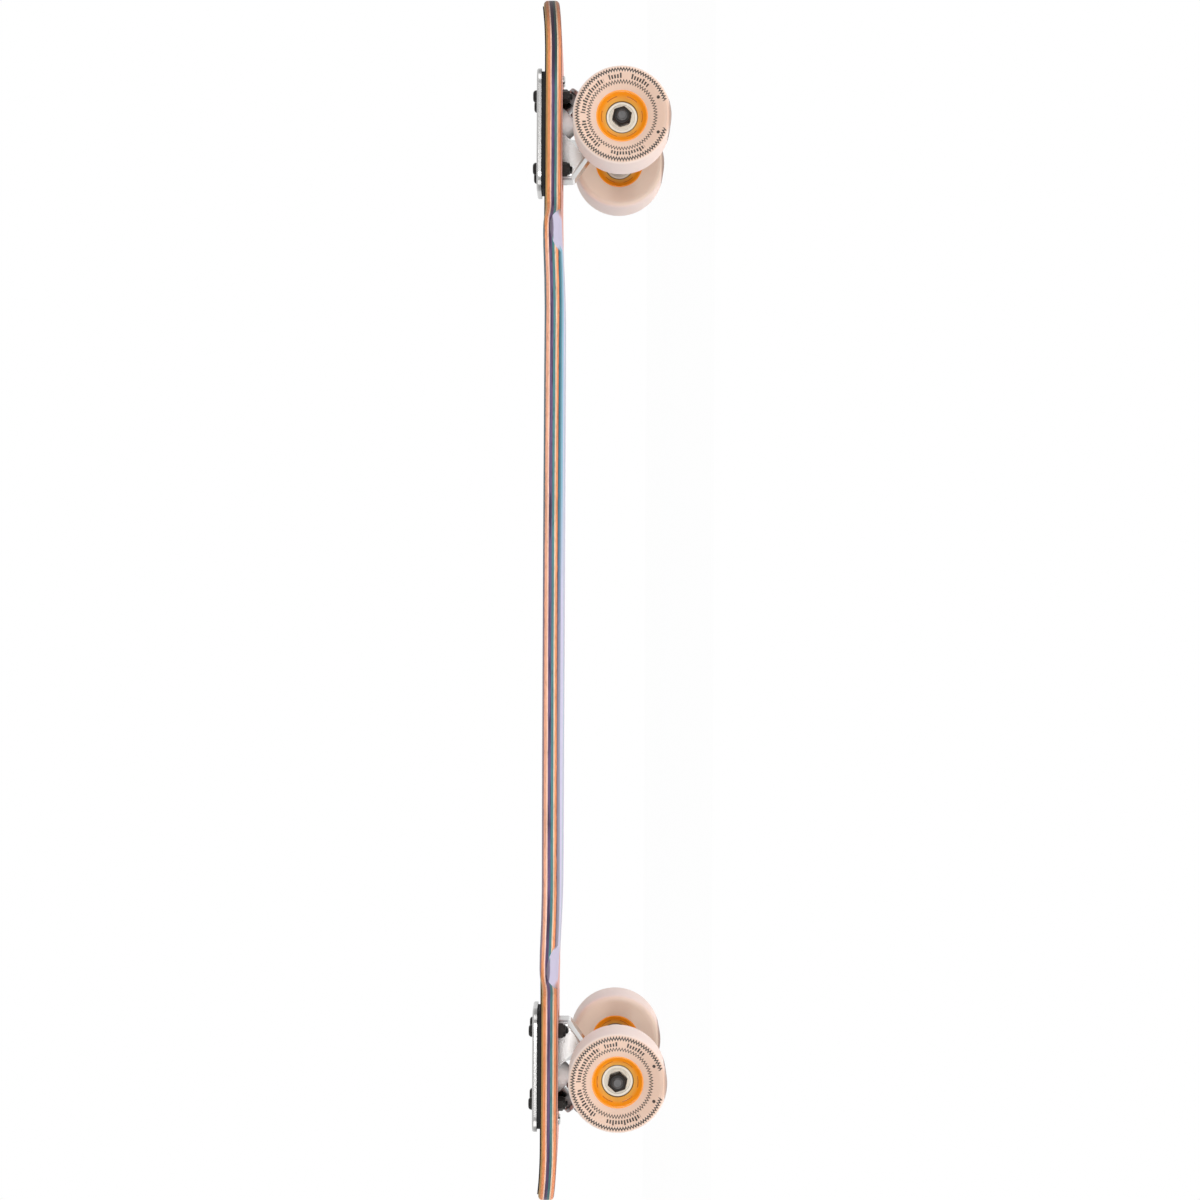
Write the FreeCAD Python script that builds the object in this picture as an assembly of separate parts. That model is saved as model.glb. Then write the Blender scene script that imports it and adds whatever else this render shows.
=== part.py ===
import FreeCAD, Part
import math
import os
from FreeCAD import Placement, Rotation, Vector

# Drop-through longboard: a pressed deck hung through two reverse-kingpin trucks on four soft wheels.
# Millimetres. +X points to the nose, +Y to the left, +Z up, and the wheels stand on Z = 0.
# The board is the same after half a turn about Z, so a truck is made once and placed twice.

# Deck
DECK_LENGTH = 894.0
DECK_WIDTH = 238.0
DECK_THICK = 11.6
NOSE_LENGTH = 99.6              # deck tip, outboard of the bolt centre
SIDE_TAPER = 5.5                # each side draws in this much from the middle to the shoulder
SHOULDER_FROM_BOLTS = 78.0      # shoulder corner, inboard of the bolt centre
SHOULDER_ROUND = 20.0
NECK_WIDTH = 132.0
NECK_FROM_BOLTS = 58.0          # neck corner, inboard of the bolt centre
NECK_ROUND = 16.0
NOSE_FLAT = 20.0                # straight width across the tip
SIDE_STRAIGHT = 69.4            # straight run of a side, from its bowed middle to the shoulder corner
CONCAVE_FLAT = 150.0            # flat width across the middle
CONCAVE_RADIUS = 420.0          # underside radius where the rails rise
PLATFORM_DROP = 2.5             # platform below the truck flats
STEP_FROM_BOLTS = 47.0          # outer end of the S-bend, inboard of the bolt centre
STEP_LENGTH = 100.0
KICK_FROM_BOLTS = 49.0          # start of the nose lift, outboard of the bolt centre
KICK_ANGLE = 7.0
KICK_RADIUS = 420.0
EDGE_ROUND = 3.0
WELL_FROM_BOLTS = 79.4          # wheel-well centre, inboard of the bolt centre
WELL_RADIUS = 35.0
WELL_DEPTH = 7.5
WELL_REACH = 50.0               # how far a well runs in from the shoulder edge
SLOT_WIDTH = 33.0
SLOT_INNER = 39.5               # slot ends, from the bolt centre
SLOT_OUTER = 46.0
SLOT_ROUND = 8.0

# Grip tape
GRIP_THICK = 0.9
GRIP_SIDE_INSET = 11.0
GRIP_END_INSET = 1.2

# Truck placing
AXLE_INSET = 5.4                # axle inboard of the bolt centre
TRUCK_HEIGHT = 59.0             # axle to flange underside
RISER_THICK = 3.1
RISER_INSET = 1.8               # riser inside the flange's edge
BOLT_SPACING_X = 54.0
BOLT_SPACING_Y = 41.3
SPARE_HOLE_STEP = 9.5           # second hole pair, outboard of the first

# Mounting bolts and nuts
BOLT_DIAMETER = 4.8
BOLT_HOLE_CLEARANCE = 0.35
BOLT_HEAD_DIAMETER = 9.3
BOLT_HEAD_HEIGHT = 2.9
BOLT_HEAD_ROUND = 2.4
BOLT_SOCKET_FLATS = 3.2
BOLT_SOCKET_DEPTH = 1.7
BOLT_STUB = 1.8                 # thread past the nut
BOLT_BEVEL = 0.5
BOLT_THREAD_DEPTH = 0.4
NUT_FLATS = 9.5
NUT_HEIGHT = 5.7

# Shape of every lock nut, as shares of its own height or flats
NUT_COLLAR_HEIGHT = 0.3
NUT_COLLAR_WIDTH = 0.94
NUT_COLLAR_ROUND = 0.45         # of the collar's height
NUT_BEVEL = 0.9                 # of the corner that stands past the flats

# Baseplate: u runs along the pivot axis (rising outboard), w along the kingpin (down and outboard)
PIVOT_ANGLE = 45.0
FLANGE_THICK = 3.4
FLANGE_INNER = 43.4
FLANGE_OUTER = 48.3
FLANGE_WIDTH = 62.0
FLANGE_ROUND = 13.0
FLANGE_EDGE_ROUND = 1.4
BOX_WIDTH = 30.0
BOX_WALL_X = 33.8               # inner wall of the box, from the bolt centre
BOX_WALL_DROP = 24.3
BOX_TOE_ROUND = 3.0
BOX_EDGE_ROUND = 4.0            # along the lower edges of the box
RAMP_W = 12.0                   # sloped face under the bushing
RAMP_ROUND = 8.0
SEAT_DEPTH = 1.0
TOWER_FRONT_U = -22.5
TOWER_LENGTH = 11.0
TOWER_RADIUS = 8.2
LUG_LENGTH = 6.0                # locating lug in the outer end of the slot
LUG_WIDTH = 18.0
LUG_PROUD = 1.9                 # lug below the deck
LUG_END_GAP = 0.8
LUG_INNER_ROUND = 2.0
LUG_OUTER_ROUND = 2.9
LUG_TIP_ROUND = 1.3

# Kingpin stack
KINGPIN_U = -3.1
KINGPIN_DIAMETER = 9.5
KINGPIN_HOLE_CLEARANCE = 0.15
KINGPIN_HEAD_FLATS = 14.0
KINGPIN_HEAD_HEIGHT = 5.0
KINGPIN_HEAD_CLEARANCE = 0.25
KINGPIN_FLOOR = 6.0             # metal between head pocket and bushing seat
KINGPIN_STUB = 2.6              # thread past the nut
KINGPIN_NUT_FLATS = 14.3
KINGPIN_NUT_HEIGHT = 7.6
BUSHING_DIAMETER = 25.0
BUSHING_ROUND = 1.2
BUSHING_SEAT_CLEARANCE = 0.5
BOARDSIDE_BUSHING = 15.6
ROADSIDE_BUSHING = 10.8
ROADSIDE_TIP_DIAMETER = 22.4
ROADSIDE_ROUND = 0.8
ROADSIDE_SHOULDER = 2.4         # straight foot of the tapered bushing
ROADSIDE_SHOULDER_ROUND = 3.0
CUP_WASHER_DIAMETER = 27.0
CUP_WASHER_THICK = 1.6
CUP_WASHER_WALL = 1.4
CUP_WASHER_ROUND = 1.2

# Hanger
RING_DIAMETER = 29.6
RING_THICK = 6.0
RING_SEAT_DEPTH = 1.2
RING_HOLE_DIAMETER = 15.0
RING_RELIEF = 3.9               # how far the web is cut back above the ring
HANGER_WIDTH = 180.0
HOUSING_RADIUS = 11.0
HOUSING_END_RADIUS = 8.0
HOUSING_END_ROUND = 1.2
HOUSING_BLEND = 60.0
HOUSING_MIDDLE = 40.0           # straight middle of the axle housing
WEB_THICK = 9.8
WEB_RING_INSET = 0.4            # web edge inside the ring's edge
WEB_HALF_SPAN = 64.0            # half width of the web where it meets the housing
WEB_WAIST = 21.0
WEB_WAIST_AT = 24.0             # waist corner, from the ring centre
WEB_ROUND = 30.0
WEB_EDGE_ROUND = 2.5
WEB_SEAM_ROUND = 4.0            # fillet where the web runs into the axle housing
STEM_RADIUS = 4.8
STEM_TIP_ROUND = 1.4
STEM_BOSS_RADIUS = 7.2
STEM_CLEARANCE = 0.07
STEM_END_GAP = 0.3
PIVOT_CUP_WALL = 1.7
PIVOT_CUP_FLOOR = 1.2
PIVOT_CUP_LENGTH = 9.5
STEER_LIMIT = 15.0              # degrees each way
SWEEP_CLEARANCE = 0.8           # room round the tower over the whole steer

# Axle, washers and nuts
AXLE_DIAMETER = 7.94
AXLE_BORE_CLEARANCE = 0.03
AXLE_STUB = 2.0                 # axle past the nut
THREAD_BEVEL = 0.6              # bevelled tip of axle and kingpin
THREAD_DEPTH = 0.6              # the same tips are turned down to the root of their thread
SPEED_WASHER_THICK = 1.0
SPEED_WASHER_DIAMETER = 11.8
AXLE_NUT_FLATS = 12.7
AXLE_NUT_HEIGHT = 8.0
AXLE_NUT_TURN = -12.0           # where a corner of the hexagon stopped, from the fore-and-aft line

# Wheel
WHEEL_DIAMETER = 70.0
WHEEL_WIDTH = 51.0
WHEEL_LIP_ROUND = 3.8
WHEEL_FACE_BAND = 4.4           # flat band inside the lip
DISH_DEPTH = 6.8
CORE_DIAMETER = 36.8
CORE_RIM = 0.9
CORE_WAIST = 2.3                # groove that locks the tyre
CORE_FLANGE = 6.0
CORE_MOUTH_DIAMETER = 23.4
CORE_SEAT_LIP = 0.8
CORE_MOUTH_ROUND = 0.3

# Bearing
BEARING_DIAMETER = 22.0
BEARING_BORE = 8.0
BEARING_WIDTH = 7.0
BEARING_GAP = 10.0              # spacer between the two bearings of a wheel
BALL_DIAMETER = 3.97
BALL_COUNT = 7
BALL_CLEARANCE = 0.05
RING_WALL = 2.0
RING_ROUND = 0.3
SHIELD_THICK = 0.5
SHIELD_INSET = 0.4
SHIELD_GAP = 0.3
SHIELD_CREASE = 0.6             # half width of the pressed groove
SPACER_WALL = 1.4

# Levels and places worked out from the sizes above
AXLE_Z = WHEEL_DIAMETER / 2
FLANGE_Z = AXLE_Z + TRUCK_HEIGHT
DECK_TOP_Z = FLANGE_Z - RISER_THICK - GRIP_THICK
DECK_BOTTOM_Z = DECK_TOP_Z - DECK_THICK
BOLT_X = DECK_LENGTH / 2 - NOSE_LENGTH
AXLE_X = BOLT_X - AXLE_INSET
SHOULDER_HALF = DECK_WIDTH / 2 - SIDE_TAPER
STACK_DROP = FLANGE_Z - DECK_BOTTOM_Z
BEARING_STACK = 2 * BEARING_WIDTH + BEARING_GAP
WHEEL_Y = HANGER_WIDTH / 2 + SPEED_WASHER_THICK + BEARING_STACK / 2
AXLE_NUT_Y = WHEEL_Y + BEARING_STACK / 2 + SPEED_WASHER_THICK
SEAT_W = RAMP_W - SEAT_DEPTH
RING_WEB_W = SEAT_W + BOARDSIDE_BUSHING
RING_TOP_W = RING_WEB_W - RING_SEAT_DEPTH
PIVOT_W = RING_TOP_W + RING_THICK / 2
RING_BASE_W = RING_TOP_W + RING_THICK
ROADSIDE_W = RING_BASE_W - RING_SEAT_DEPTH
CUP_WASHER_W = ROADSIDE_W + ROADSIDE_BUSHING
KINGPIN_NUT_W = CUP_WASHER_W + CUP_WASHER_THICK
KINGPIN_END_W = KINGPIN_NUT_W + KINGPIN_NUT_HEIGHT + KINGPIN_STUB
HEAD_FLOOR_W = SEAT_W - KINGPIN_FLOOR
BOLT_RADIUS = BOLT_DIAMETER / 2
BOLT_HOLE_RADIUS = BOLT_RADIUS + BOLT_HOLE_CLEARANCE
FAR = DECK_LENGTH               # longer than any piece it cuts
OVERCUT = 1.0                   # cutters run past a face by this much
ORIGIN = Vector(0, 0, 0)
X_AXIS = Vector(1, 0, 0)
Y_AXIS = Vector(0, 1, 0)
Z_AXIS = Vector(0, 0, 1)

# Stack frame to truck frame: local x becomes u, local z becomes w
STACK = Placement(ORIGIN, Rotation(Y_AXIS, -PIVOT_ANGLE) * Rotation(X_AXIS, 180))
# Turned pieces are made about Y; this stands them up along Z
UPRIGHT = Placement(ORIGIN, Rotation(X_AXIS, 90))
ALONG_Y = Placement(ORIGIN, Rotation(X_AXIS, -90))
UPSIDE_DOWN = Placement(ORIGIN, Rotation(X_AXIS, 180))
HALF_TURN = Placement(ORIGIN, Rotation(Z_AXIS, 180))


def placed(shape, *placements):
    """Copy of a shape with placements applied in order."""
    copy = shape.copy()
    for placement in placements:
        copy.Placement = placement.multiply(copy.Placement)
    return copy


def shifted(shape, x=0.0, y=0.0, z=0.0):
    """Copy of a shape moved by x, y, z."""
    return placed(shape, Placement(Vector(x, y, z), Rotation()))


def rounded_edges(corners, closed=True):
    """Straight runs through corners (x, y, radius), joined by tangent arcs."""
    count = len(corners)
    stops = []
    for index, (x, y, radius) in enumerate(corners):
        here = Vector(x, y, 0)
        if radius == 0 or (not closed and index in (0, count - 1)):
            stops.append((here, None, here))
            continue
        before = corners[index - 1]
        after = corners[(index + 1) % count]
        back = (Vector(before[0], before[1], 0) - here).normalize()
        ahead = (Vector(after[0], after[1], 0) - here).normalize()
        half_angle = back.getAngle(ahead) / 2
        reach = radius / math.tan(half_angle)
        bulge = radius / math.sin(half_angle) - radius
        middle = here + (back + ahead).normalize() * bulge
        stops.append((here + back * reach, middle, here + ahead * reach))
    edges = []
    for index, (start, middle, end) in enumerate(stops):
        if middle is not None:
            edges.append(Part.Arc(start, middle, end).toShape())
        following = stops[(index + 1) % count][0]
        last = index == count - 1 and not closed
        if not last and end.distanceToPoint(following) > 1e-4:
            edges.append(Part.LineSegment(end, following).toShape())
    return edges


def slab(corners, low, high):
    """Prism of a rounded outline between two heights."""
    face = Part.Face(Part.Wire(rounded_edges(corners)))
    return shifted(face.extrude(Z_AXIS * (high - low)), z=low)


def turned(corners):
    """Solid of revolution about Y of a profile of (radius, y, corner radius)."""
    face = Part.Face(Part.Wire(rounded_edges(corners)))
    return face.revolve(ORIGIN, Y_AXIS, 360)


def tube(outer, inner, low, high):
    """Tube about Z between two heights; inner may be 0."""
    solid = Part.makeCylinder(outer, high - low, Vector(0, 0, low))
    if inner > 0:
        solid = solid.cut(Part.makeCylinder(inner, high - low, Vector(0, 0, low)))
    return solid


def hexagon(flats, low, high):
    """Six-sided prism about Z, flats apart across the flats."""
    reach = flats / math.sqrt(3)
    corners = []
    for step in range(6):
        angle = math.radians(60 * step)
        corners.append((reach * math.cos(angle), reach * math.sin(angle), 0))
    return slab(corners, low, high)


def lock_nut(flats, height, bore):
    """Lock nut standing on Z = 0: bevelled hexagon below a round collar."""
    collar = height * NUT_COLLAR_HEIGHT
    neck = flats / 2 * NUT_COLLAR_WIDTH
    hex_top = height - collar
    corner = flats / math.sqrt(3)
    bevel = (corner - flats / 2) * NUT_BEVEL
    shoulder = [(0, 0, 0), (corner - bevel / 2, 0, 0), (corner, bevel / 2, 0),
                (corner, hex_top - bevel, 0), (corner - bevel, hex_top, 0), (0, hex_top, 0)]
    body = hexagon(flats, 0, hex_top).common(placed(turned(shoulder), UPRIGHT))
    dome = turned([(0, hex_top / 2, 0), (neck, hex_top / 2, 0),
                   (neck, height, collar * NUT_COLLAR_ROUND), (0, height, 0)])
    nut = body.fuse(placed(dome, UPRIGHT))
    return nut.cut(tube(bore, 0, -OVERCUT, height + OVERCUT)).removeSplitter()


def mirrored_corners(quarter):
    """Closed outline from one quarter's corners, listed from the X = 0 side to the nose."""
    left = [(-x, y, r) for x, y, r in reversed(quarter) if x > 0] + quarter
    right = [(x, -y, r) for x, y, r in reversed(left)]
    return left + right


def deck_outline(side_inset=0.0, end_inset=0.0):
    """Plan of the deck, drawn in by one inset at the wide sides and another at the ends."""
    shoulder_x = BOLT_X - SHOULDER_FROM_BOLTS
    bow = shoulder_x - SIDE_STRAIGHT
    side_slope = SIDE_TAPER / (shoulder_x - bow / 2)
    crown = SHOULDER_HALF + shoulder_x * side_slope
    neck_x = BOLT_X - NECK_FROM_BOLTS
    neck_half = NECK_WIDTH / 2 - end_inset
    quarter = [
        (0, crown - side_inset, bow / side_slope),
        (shoulder_x - side_inset, SHOULDER_HALF - side_inset, SHOULDER_ROUND),
        (neck_x, neck_half, NECK_ROUND),
        (DECK_LENGTH / 2 - end_inset, neck_half, neck_half - NOSE_FLAT / 2),
    ]
    return mirrored_corners(quarter)


def rail_points(height, side):
    """Start, middle and end of one curved rail of the deck's section, at a height above the underside."""
    flat = CONCAVE_FLAT / 2
    radius = CONCAVE_RADIUS - height
    whole = math.asin((DECK_WIDTH / 2 + DECK_THICK - flat) / CONCAVE_RADIUS)
    points = []
    for angle in (0, whole / 2, whole):
        y = flat + radius * math.sin(angle)
        points.append(Vector(0, side * y, CONCAVE_RADIUS - radius * math.cos(angle)))
    return points


def layer_section(low, high):
    """Cross-section of one layer of the deck at X = 0, its heights measured from the underside."""
    edges = []
    for height in (low, high):
        left = rail_points(height, 1)
        right = rail_points(height, -1)
        edges.append(Part.Arc(*right).toShape())
        edges.append(Part.LineSegment(right[0], left[0]).toShape())
        edges.append(Part.Arc(*left).toShape())
    for side in (1, -1):
        ends = [rail_points(height, side)[-1] for height in (low, high)]
        edges.append(Part.LineSegment(*ends).toShape())
    return Part.Wire(Part.__sortEdges__(edges))


def deck_layer(low, high, outline):
    """One pressed layer: its section carried along the side profile, then cut to a plan outline."""
    step_outer = BOLT_X - STEP_FROM_BOLTS
    step_middle = step_outer - STEP_LENGTH / 2
    quarter_step = STEP_LENGTH / 4
    turn = math.atan2(PLATFORM_DROP, STEP_LENGTH / 2)
    step_reach = math.hypot(PLATFORM_DROP, STEP_LENGTH / 2) / 2
    step_radius = step_reach / math.tan(turn / 2)
    kick = math.radians(KICK_ANGLE)
    kick_x = BOLT_X + KICK_FROM_BOLTS + KICK_RADIUS * math.tan(kick / 2)
    run_out = DECK_LENGTH / 2 - kick_x + NECK_WIDTH
    path = rounded_edges([
        (0, 0, 0),
        (step_middle - quarter_step, 0, step_radius),
        (step_middle + quarter_step, PLATFORM_DROP, step_radius),
        (kick_x, PLATFORM_DROP, KICK_RADIUS),
        (kick_x + run_out * math.cos(kick), PLATFORM_DROP + run_out * math.sin(kick), 0),
    ], closed=False)
    spine = placed(Part.Wire(path), UPRIGHT)
    half = spine.makePipeShell([layer_section(low, high)], True, False)
    blank = half.fuse(half.mirror(ORIGIN, X_AXIS)).removeSplitter()
    blank = shifted(blank, z=DECK_BOTTOM_Z - PLATFORM_DROP)
    return blank.common(slab(outline, 0, FAR)).Solids[0]


def edge_facts(solid):
    """Every edge between two faces, with its middle point and the faces' normals there."""
    facts = []
    for edge in solid.Edges:
        spot = edge.valueAt((edge.FirstParameter + edge.LastParameter) / 2)
        normals = []
        for face in solid.ancestorsOfType(edge, Part.Face):
            normals.append(face.normalAt(*face.Surface.parameter(spot)))
        if len(normals) == 2:
            facts.append((edge, spot, normals))
    return facts


def rail_edges(solid):
    """Edges where the upright rim of a layer meets its upper and lower faces."""
    rim_tilt = 0.3
    chosen = []
    for edge, spot, normals in edge_facts(solid):
        tilts = sorted(abs(normal.z) for normal in normals)
        if tilts[0] < rim_tilt < tilts[1]:
            chosen.append(edge)
    return chosen


def both_ends(shape):
    """A cutter at the front bolt centre, and its twin at the rear."""
    front = shifted(shape, x=BOLT_X)
    return [front, placed(front, HALF_TURN)]


def slot_corners():
    """Plan of the drop-through slot, about the bolt centre."""
    half = SLOT_WIDTH / 2
    return [(-SLOT_INNER, -half, SLOT_ROUND), (SLOT_OUTER, -half, SLOT_ROUND),
            (SLOT_OUTER, half, SLOT_ROUND), (-SLOT_INNER, half, SLOT_ROUND)]


def bolt_places(extra=0.0):
    """Four bolt positions about the bolt centre; extra moves the outer pair outboard."""
    half_x = BOLT_SPACING_X / 2
    half_y = BOLT_SPACING_Y / 2
    return [(x, y) for x in (-half_x, half_x + extra) for y in (-half_y, half_y)]


def truck_holes():
    """Slot and four bolt holes that pass through every layer under the flange."""
    holes = [slab(slot_corners(), -FAR, FAR)]
    for x, y in bolt_places():
        holes.append(shifted(tube(BOLT_HOLE_RADIUS, 0, -FAR, FAR), x, y))
    return holes


def wheel_wells():
    """Four scoops under the shoulders: cylinders that rise to WELL_DEPTH at the deck edge."""
    well_x = BOLT_X - WELL_FROM_BOLTS
    tilt = math.degrees(math.atan2(WELL_DEPTH, WELL_REACH))
    wells = []
    for end in (1, -1):
        for side in (1, -1):
            roller = Part.makeCylinder(WELL_RADIUS, FAR, Vector(0, -FAR / 2, 0), Y_AXIS)
            roller.rotate(ORIGIN, X_AXIS, side * tilt)
            axis_z = DECK_BOTTOM_Z + WELL_DEPTH - WELL_RADIUS
            wells.append(shifted(roller, end * well_x, side * SHOULDER_HALF, axis_z))
    return wells


def make_deck():
    """Deck and grip tape, with slots, bolt holes, wells and softened edges."""
    holes = []
    for hole in truck_holes():
        holes.extend(both_ends(hole))
    deck = deck_layer(0, DECK_THICK, deck_outline())
    deck = deck.makeFillet(EDGE_ROUND, rail_edges(deck))
    deck = deck.cut(holes + wheel_wells())
    grip_plan = deck_outline(GRIP_SIDE_INSET, GRIP_END_INSET + EDGE_ROUND)
    grip = deck_layer(DECK_THICK, DECK_THICK + GRIP_THICK, grip_plan).cut(holes)
    return {"deck": [deck.Solids[0]], "grip_tape": [grip.Solids[0]]}


def flange_corners(inset=0.0):
    """Plan of the baseplate flange about the bolt centre."""
    half = FLANGE_WIDTH / 2 - inset
    low = inset - FLANGE_INNER
    high = FLANGE_OUTER - inset
    return [(low, -half, FLANGE_ROUND), (high, -half, FLANGE_ROUND),
            (high, half, FLANGE_ROUND), (low, half, FLANGE_ROUND)]


def make_riser():
    """Riser pad, a little smaller than the flange, between flange and grip."""
    pad = slab(flange_corners(RISER_INSET), -RISER_THICK, 0)
    return pad.cut(truck_holes())


def side_point(u, w):
    """Stack coordinates to the truck's side view (x, z)."""
    angle = math.radians(PIVOT_ANGLE)
    return u * math.cos(angle) + w * math.sin(angle), u * math.sin(angle) - w * math.cos(angle)


def tongue(clearance=0.0):
    """The tower seen along the pivot axis: box width, tapering to a round end about the pivot."""
    half = BOX_WIDTH / 2 + clearance
    radius = TOWER_RADIUS + clearance
    drop = PIVOT_W - RAMP_W
    distance = math.hypot(half, drop)
    lean = math.asin(radius / distance) - math.atan2(half, drop)
    touch_y = radius * math.cos(lean)
    touch_w = PIVOT_W + radius * math.sin(lean)
    tip = PIVOT_W + radius
    spots = [(-FAR, half), (RAMP_W, half), (touch_w, touch_y)]
    rising = [Vector(0, y, w) for w, y in spots]
    falling = [Vector(0, -y, w) for w, y in reversed(spots)]
    edges = [Part.LineSegment(a, b).toShape() for a, b in zip(rising, rising[1:])]
    edges.append(Part.Arc(rising[-1], Vector(0, 0, tip), falling[0]).toShape())
    edges += [Part.LineSegment(a, b).toShape() for a, b in zip(falling, falling[1:] + rising[:1])]
    return Part.Face(Part.Wire(edges))


def on_lower_edge(edge, toe, heel):
    """Whether an edge of the box lies along its wall, its round toe or its slope down to the heel."""
    spot = edge.valueAt((edge.FirstParameter + edge.LastParameter) / 2)
    slope = (heel[1] - toe[1]) / (heel[0] - toe[0])
    above = spot.y - toe[1] - slope * (spot.x - toe[0])
    flat = edge.BoundBox.ZLength < OVERCUT
    return flat and (above < BOX_TOE_ROUND / 2 or spot.x - toe[0] < BOX_TOE_ROUND / 2)


def make_baseplate():
    """Cast baseplate: flange, sloped box through the slot, pivot tower and locating lug."""
    root_z = FLANGE_THICK / 2
    flange = slab(flange_corners(), 0, FLANGE_THICK)
    rim = [edge for edge in flange.Edges if edge.BoundBox.ZMin > root_z]
    flange = flange.makeFillet(FLANGE_EDGE_ROUND, rim)

    angle = math.radians(PIVOT_ANGLE)
    end_w = PIVOT_W + TOWER_RADIUS + OVERCUT
    ramp_end = (RAMP_W * math.cos(angle) + root_z) / math.sin(angle)
    profile = [(-BOX_WALL_X, root_z, 0), (-BOX_WALL_X, -BOX_WALL_DROP, BOX_TOE_ROUND),
               side_point(TOWER_FRONT_U - TOWER_LENGTH, end_w) + (0,),
               side_point(TOWER_FRONT_U, end_w) + (0,),
               side_point(TOWER_FRONT_U, RAMP_W) + (RAMP_ROUND,),
               side_point(ramp_end, RAMP_W) + (0,)]
    box = slab(profile, -BOX_WIDTH / 2, BOX_WIDTH / 2)
    lower = [edge for edge in box.Edges if on_lower_edge(edge, profile[1], profile[2])]
    body = placed(box.makeFillet(BOX_EDGE_ROUND, lower), UPRIGHT)
    envelope = placed(shifted(tongue().extrude(X_AXIS * 2 * FAR), x=-FAR), STACK)
    body = body.common(envelope)

    lug_high = SLOT_OUTER - LUG_END_GAP
    lug_half = LUG_WIDTH / 2
    lug_low = lug_high - LUG_LENGTH
    lug_plan = [(lug_low, -lug_half, LUG_INNER_ROUND), (lug_high, -lug_half, LUG_OUTER_ROUND),
                (lug_high, lug_half, LUG_OUTER_ROUND), (lug_low, lug_half, LUG_INNER_ROUND)]
    lug = slab(lug_plan, -STACK_DROP - LUG_PROUD, root_z)
    tip = [edge for edge in lug.Edges if edge.BoundBox.ZMax < -STACK_DROP]
    lug = lug.makeFillet(LUG_TIP_ROUND, tip)

    seat_radius = BUSHING_DIAMETER / 2 + BUSHING_SEAT_CLEARANCE
    pin_hole = KINGPIN_DIAMETER / 2 + KINGPIN_HOLE_CLEARANCE
    head_flats = KINGPIN_HEAD_FLATS + 2 * KINGPIN_HEAD_CLEARANCE
    cutters = [
        shifted(tube(seat_radius, 0, SEAT_W, SEAT_W + BOARDSIDE_BUSHING), x=KINGPIN_U),
        shifted(tube(pin_hole, 0, -FAR, FAR), x=KINGPIN_U),
        shifted(hexagon(head_flats, -FAR, HEAD_FLOOR_W), x=KINGPIN_U),
    ]
    cup_radius = STEM_RADIUS + STEM_CLEARANCE + PIVOT_CUP_WALL
    cup_floor = Vector(TOWER_FRONT_U - PIVOT_CUP_LENGTH, 0, PIVOT_W)
    cutters.append(Part.makeCylinder(cup_radius, PIVOT_CUP_LENGTH, cup_floor, X_AXIS))
    cutters = [placed(cutter, STACK) for cutter in cutters]
    for x, y in bolt_places() + bolt_places(SPARE_HOLE_STEP)[2:]:
        cutters.append(shifted(tube(BOLT_HOLE_RADIUS, 0, -OVERCUT, FLANGE_THICK + OVERCUT), x, y))
    return flange.fuse([body, lug]).removeSplitter().cut(cutters).Solids[0]


def make_pivot_cup():
    """Plastic cup in the tower, with a floor behind the stem."""
    inner = STEM_RADIUS + STEM_CLEARANCE
    outer = inner + PIVOT_CUP_WALL
    depth = PIVOT_CUP_LENGTH - PIVOT_CUP_FLOOR
    back = Vector(TOWER_FRONT_U - PIVOT_CUP_LENGTH, 0, PIVOT_W)
    floor = Vector(TOWER_FRONT_U - depth, 0, PIVOT_W)
    cup = Part.makeCylinder(outer, PIVOT_CUP_LENGTH, back, X_AXIS)
    return cup.cut(Part.makeCylinder(inner, depth, floor, X_AXIS))


def threaded_tip(radius, start, end, depth, bevel):
    """Profile of a rod's tip, turned down to its thread's root from start and bevelled at the end."""
    root = radius - depth
    return [(radius, start, 0), (root, start, 0), (root, end - bevel, 0),
            (root - bevel, end, 0), (0, end, 0)]


def make_kingpin():
    """Kingpin with a hexagon head in the flange pocket."""
    radius = KINGPIN_DIAMETER / 2
    head_top = HEAD_FLOOR_W - KINGPIN_HEAD_HEIGHT
    tip = threaded_tip(radius, KINGPIN_END_W - KINGPIN_STUB, KINGPIN_END_W, THREAD_DEPTH, THREAD_BEVEL)
    shank = turned([(0, head_top, 0), (radius, head_top, 0)] + tip)
    head = hexagon(KINGPIN_HEAD_FLATS, head_top, HEAD_FLOOR_W)
    return head.fuse(placed(shank, UPRIGHT)).removeSplitter()


def make_boardside_bushing():
    """Barrel bushing between the baseplate seat and the hanger ring."""
    outer = BUSHING_DIAMETER / 2
    inner = KINGPIN_DIAMETER / 2 + KINGPIN_HOLE_CLEARANCE
    top = SEAT_W + BOARDSIDE_BUSHING
    ring = turned([(inner, SEAT_W, 0), (outer, SEAT_W, BUSHING_ROUND),
                   (outer, top, BUSHING_ROUND), (inner, top, 0)])
    return placed(ring, UPRIGHT)


def make_roadside_bushing():
    """Tapered bushing between the hanger ring and the cup washer."""
    outer = BUSHING_DIAMETER / 2
    inner = KINGPIN_DIAMETER / 2 + KINGPIN_HOLE_CLEARANCE
    tip = ROADSIDE_TIP_DIAMETER / 2
    ring = turned([(inner, ROADSIDE_W, 0), (outer, ROADSIDE_W, ROADSIDE_ROUND),
                   (outer, ROADSIDE_W + ROADSIDE_SHOULDER, ROADSIDE_SHOULDER_ROUND),
                   (tip, CUP_WASHER_W, ROADSIDE_ROUND), (inner, CUP_WASHER_W, 0)])
    return placed(ring, UPRIGHT)


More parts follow.
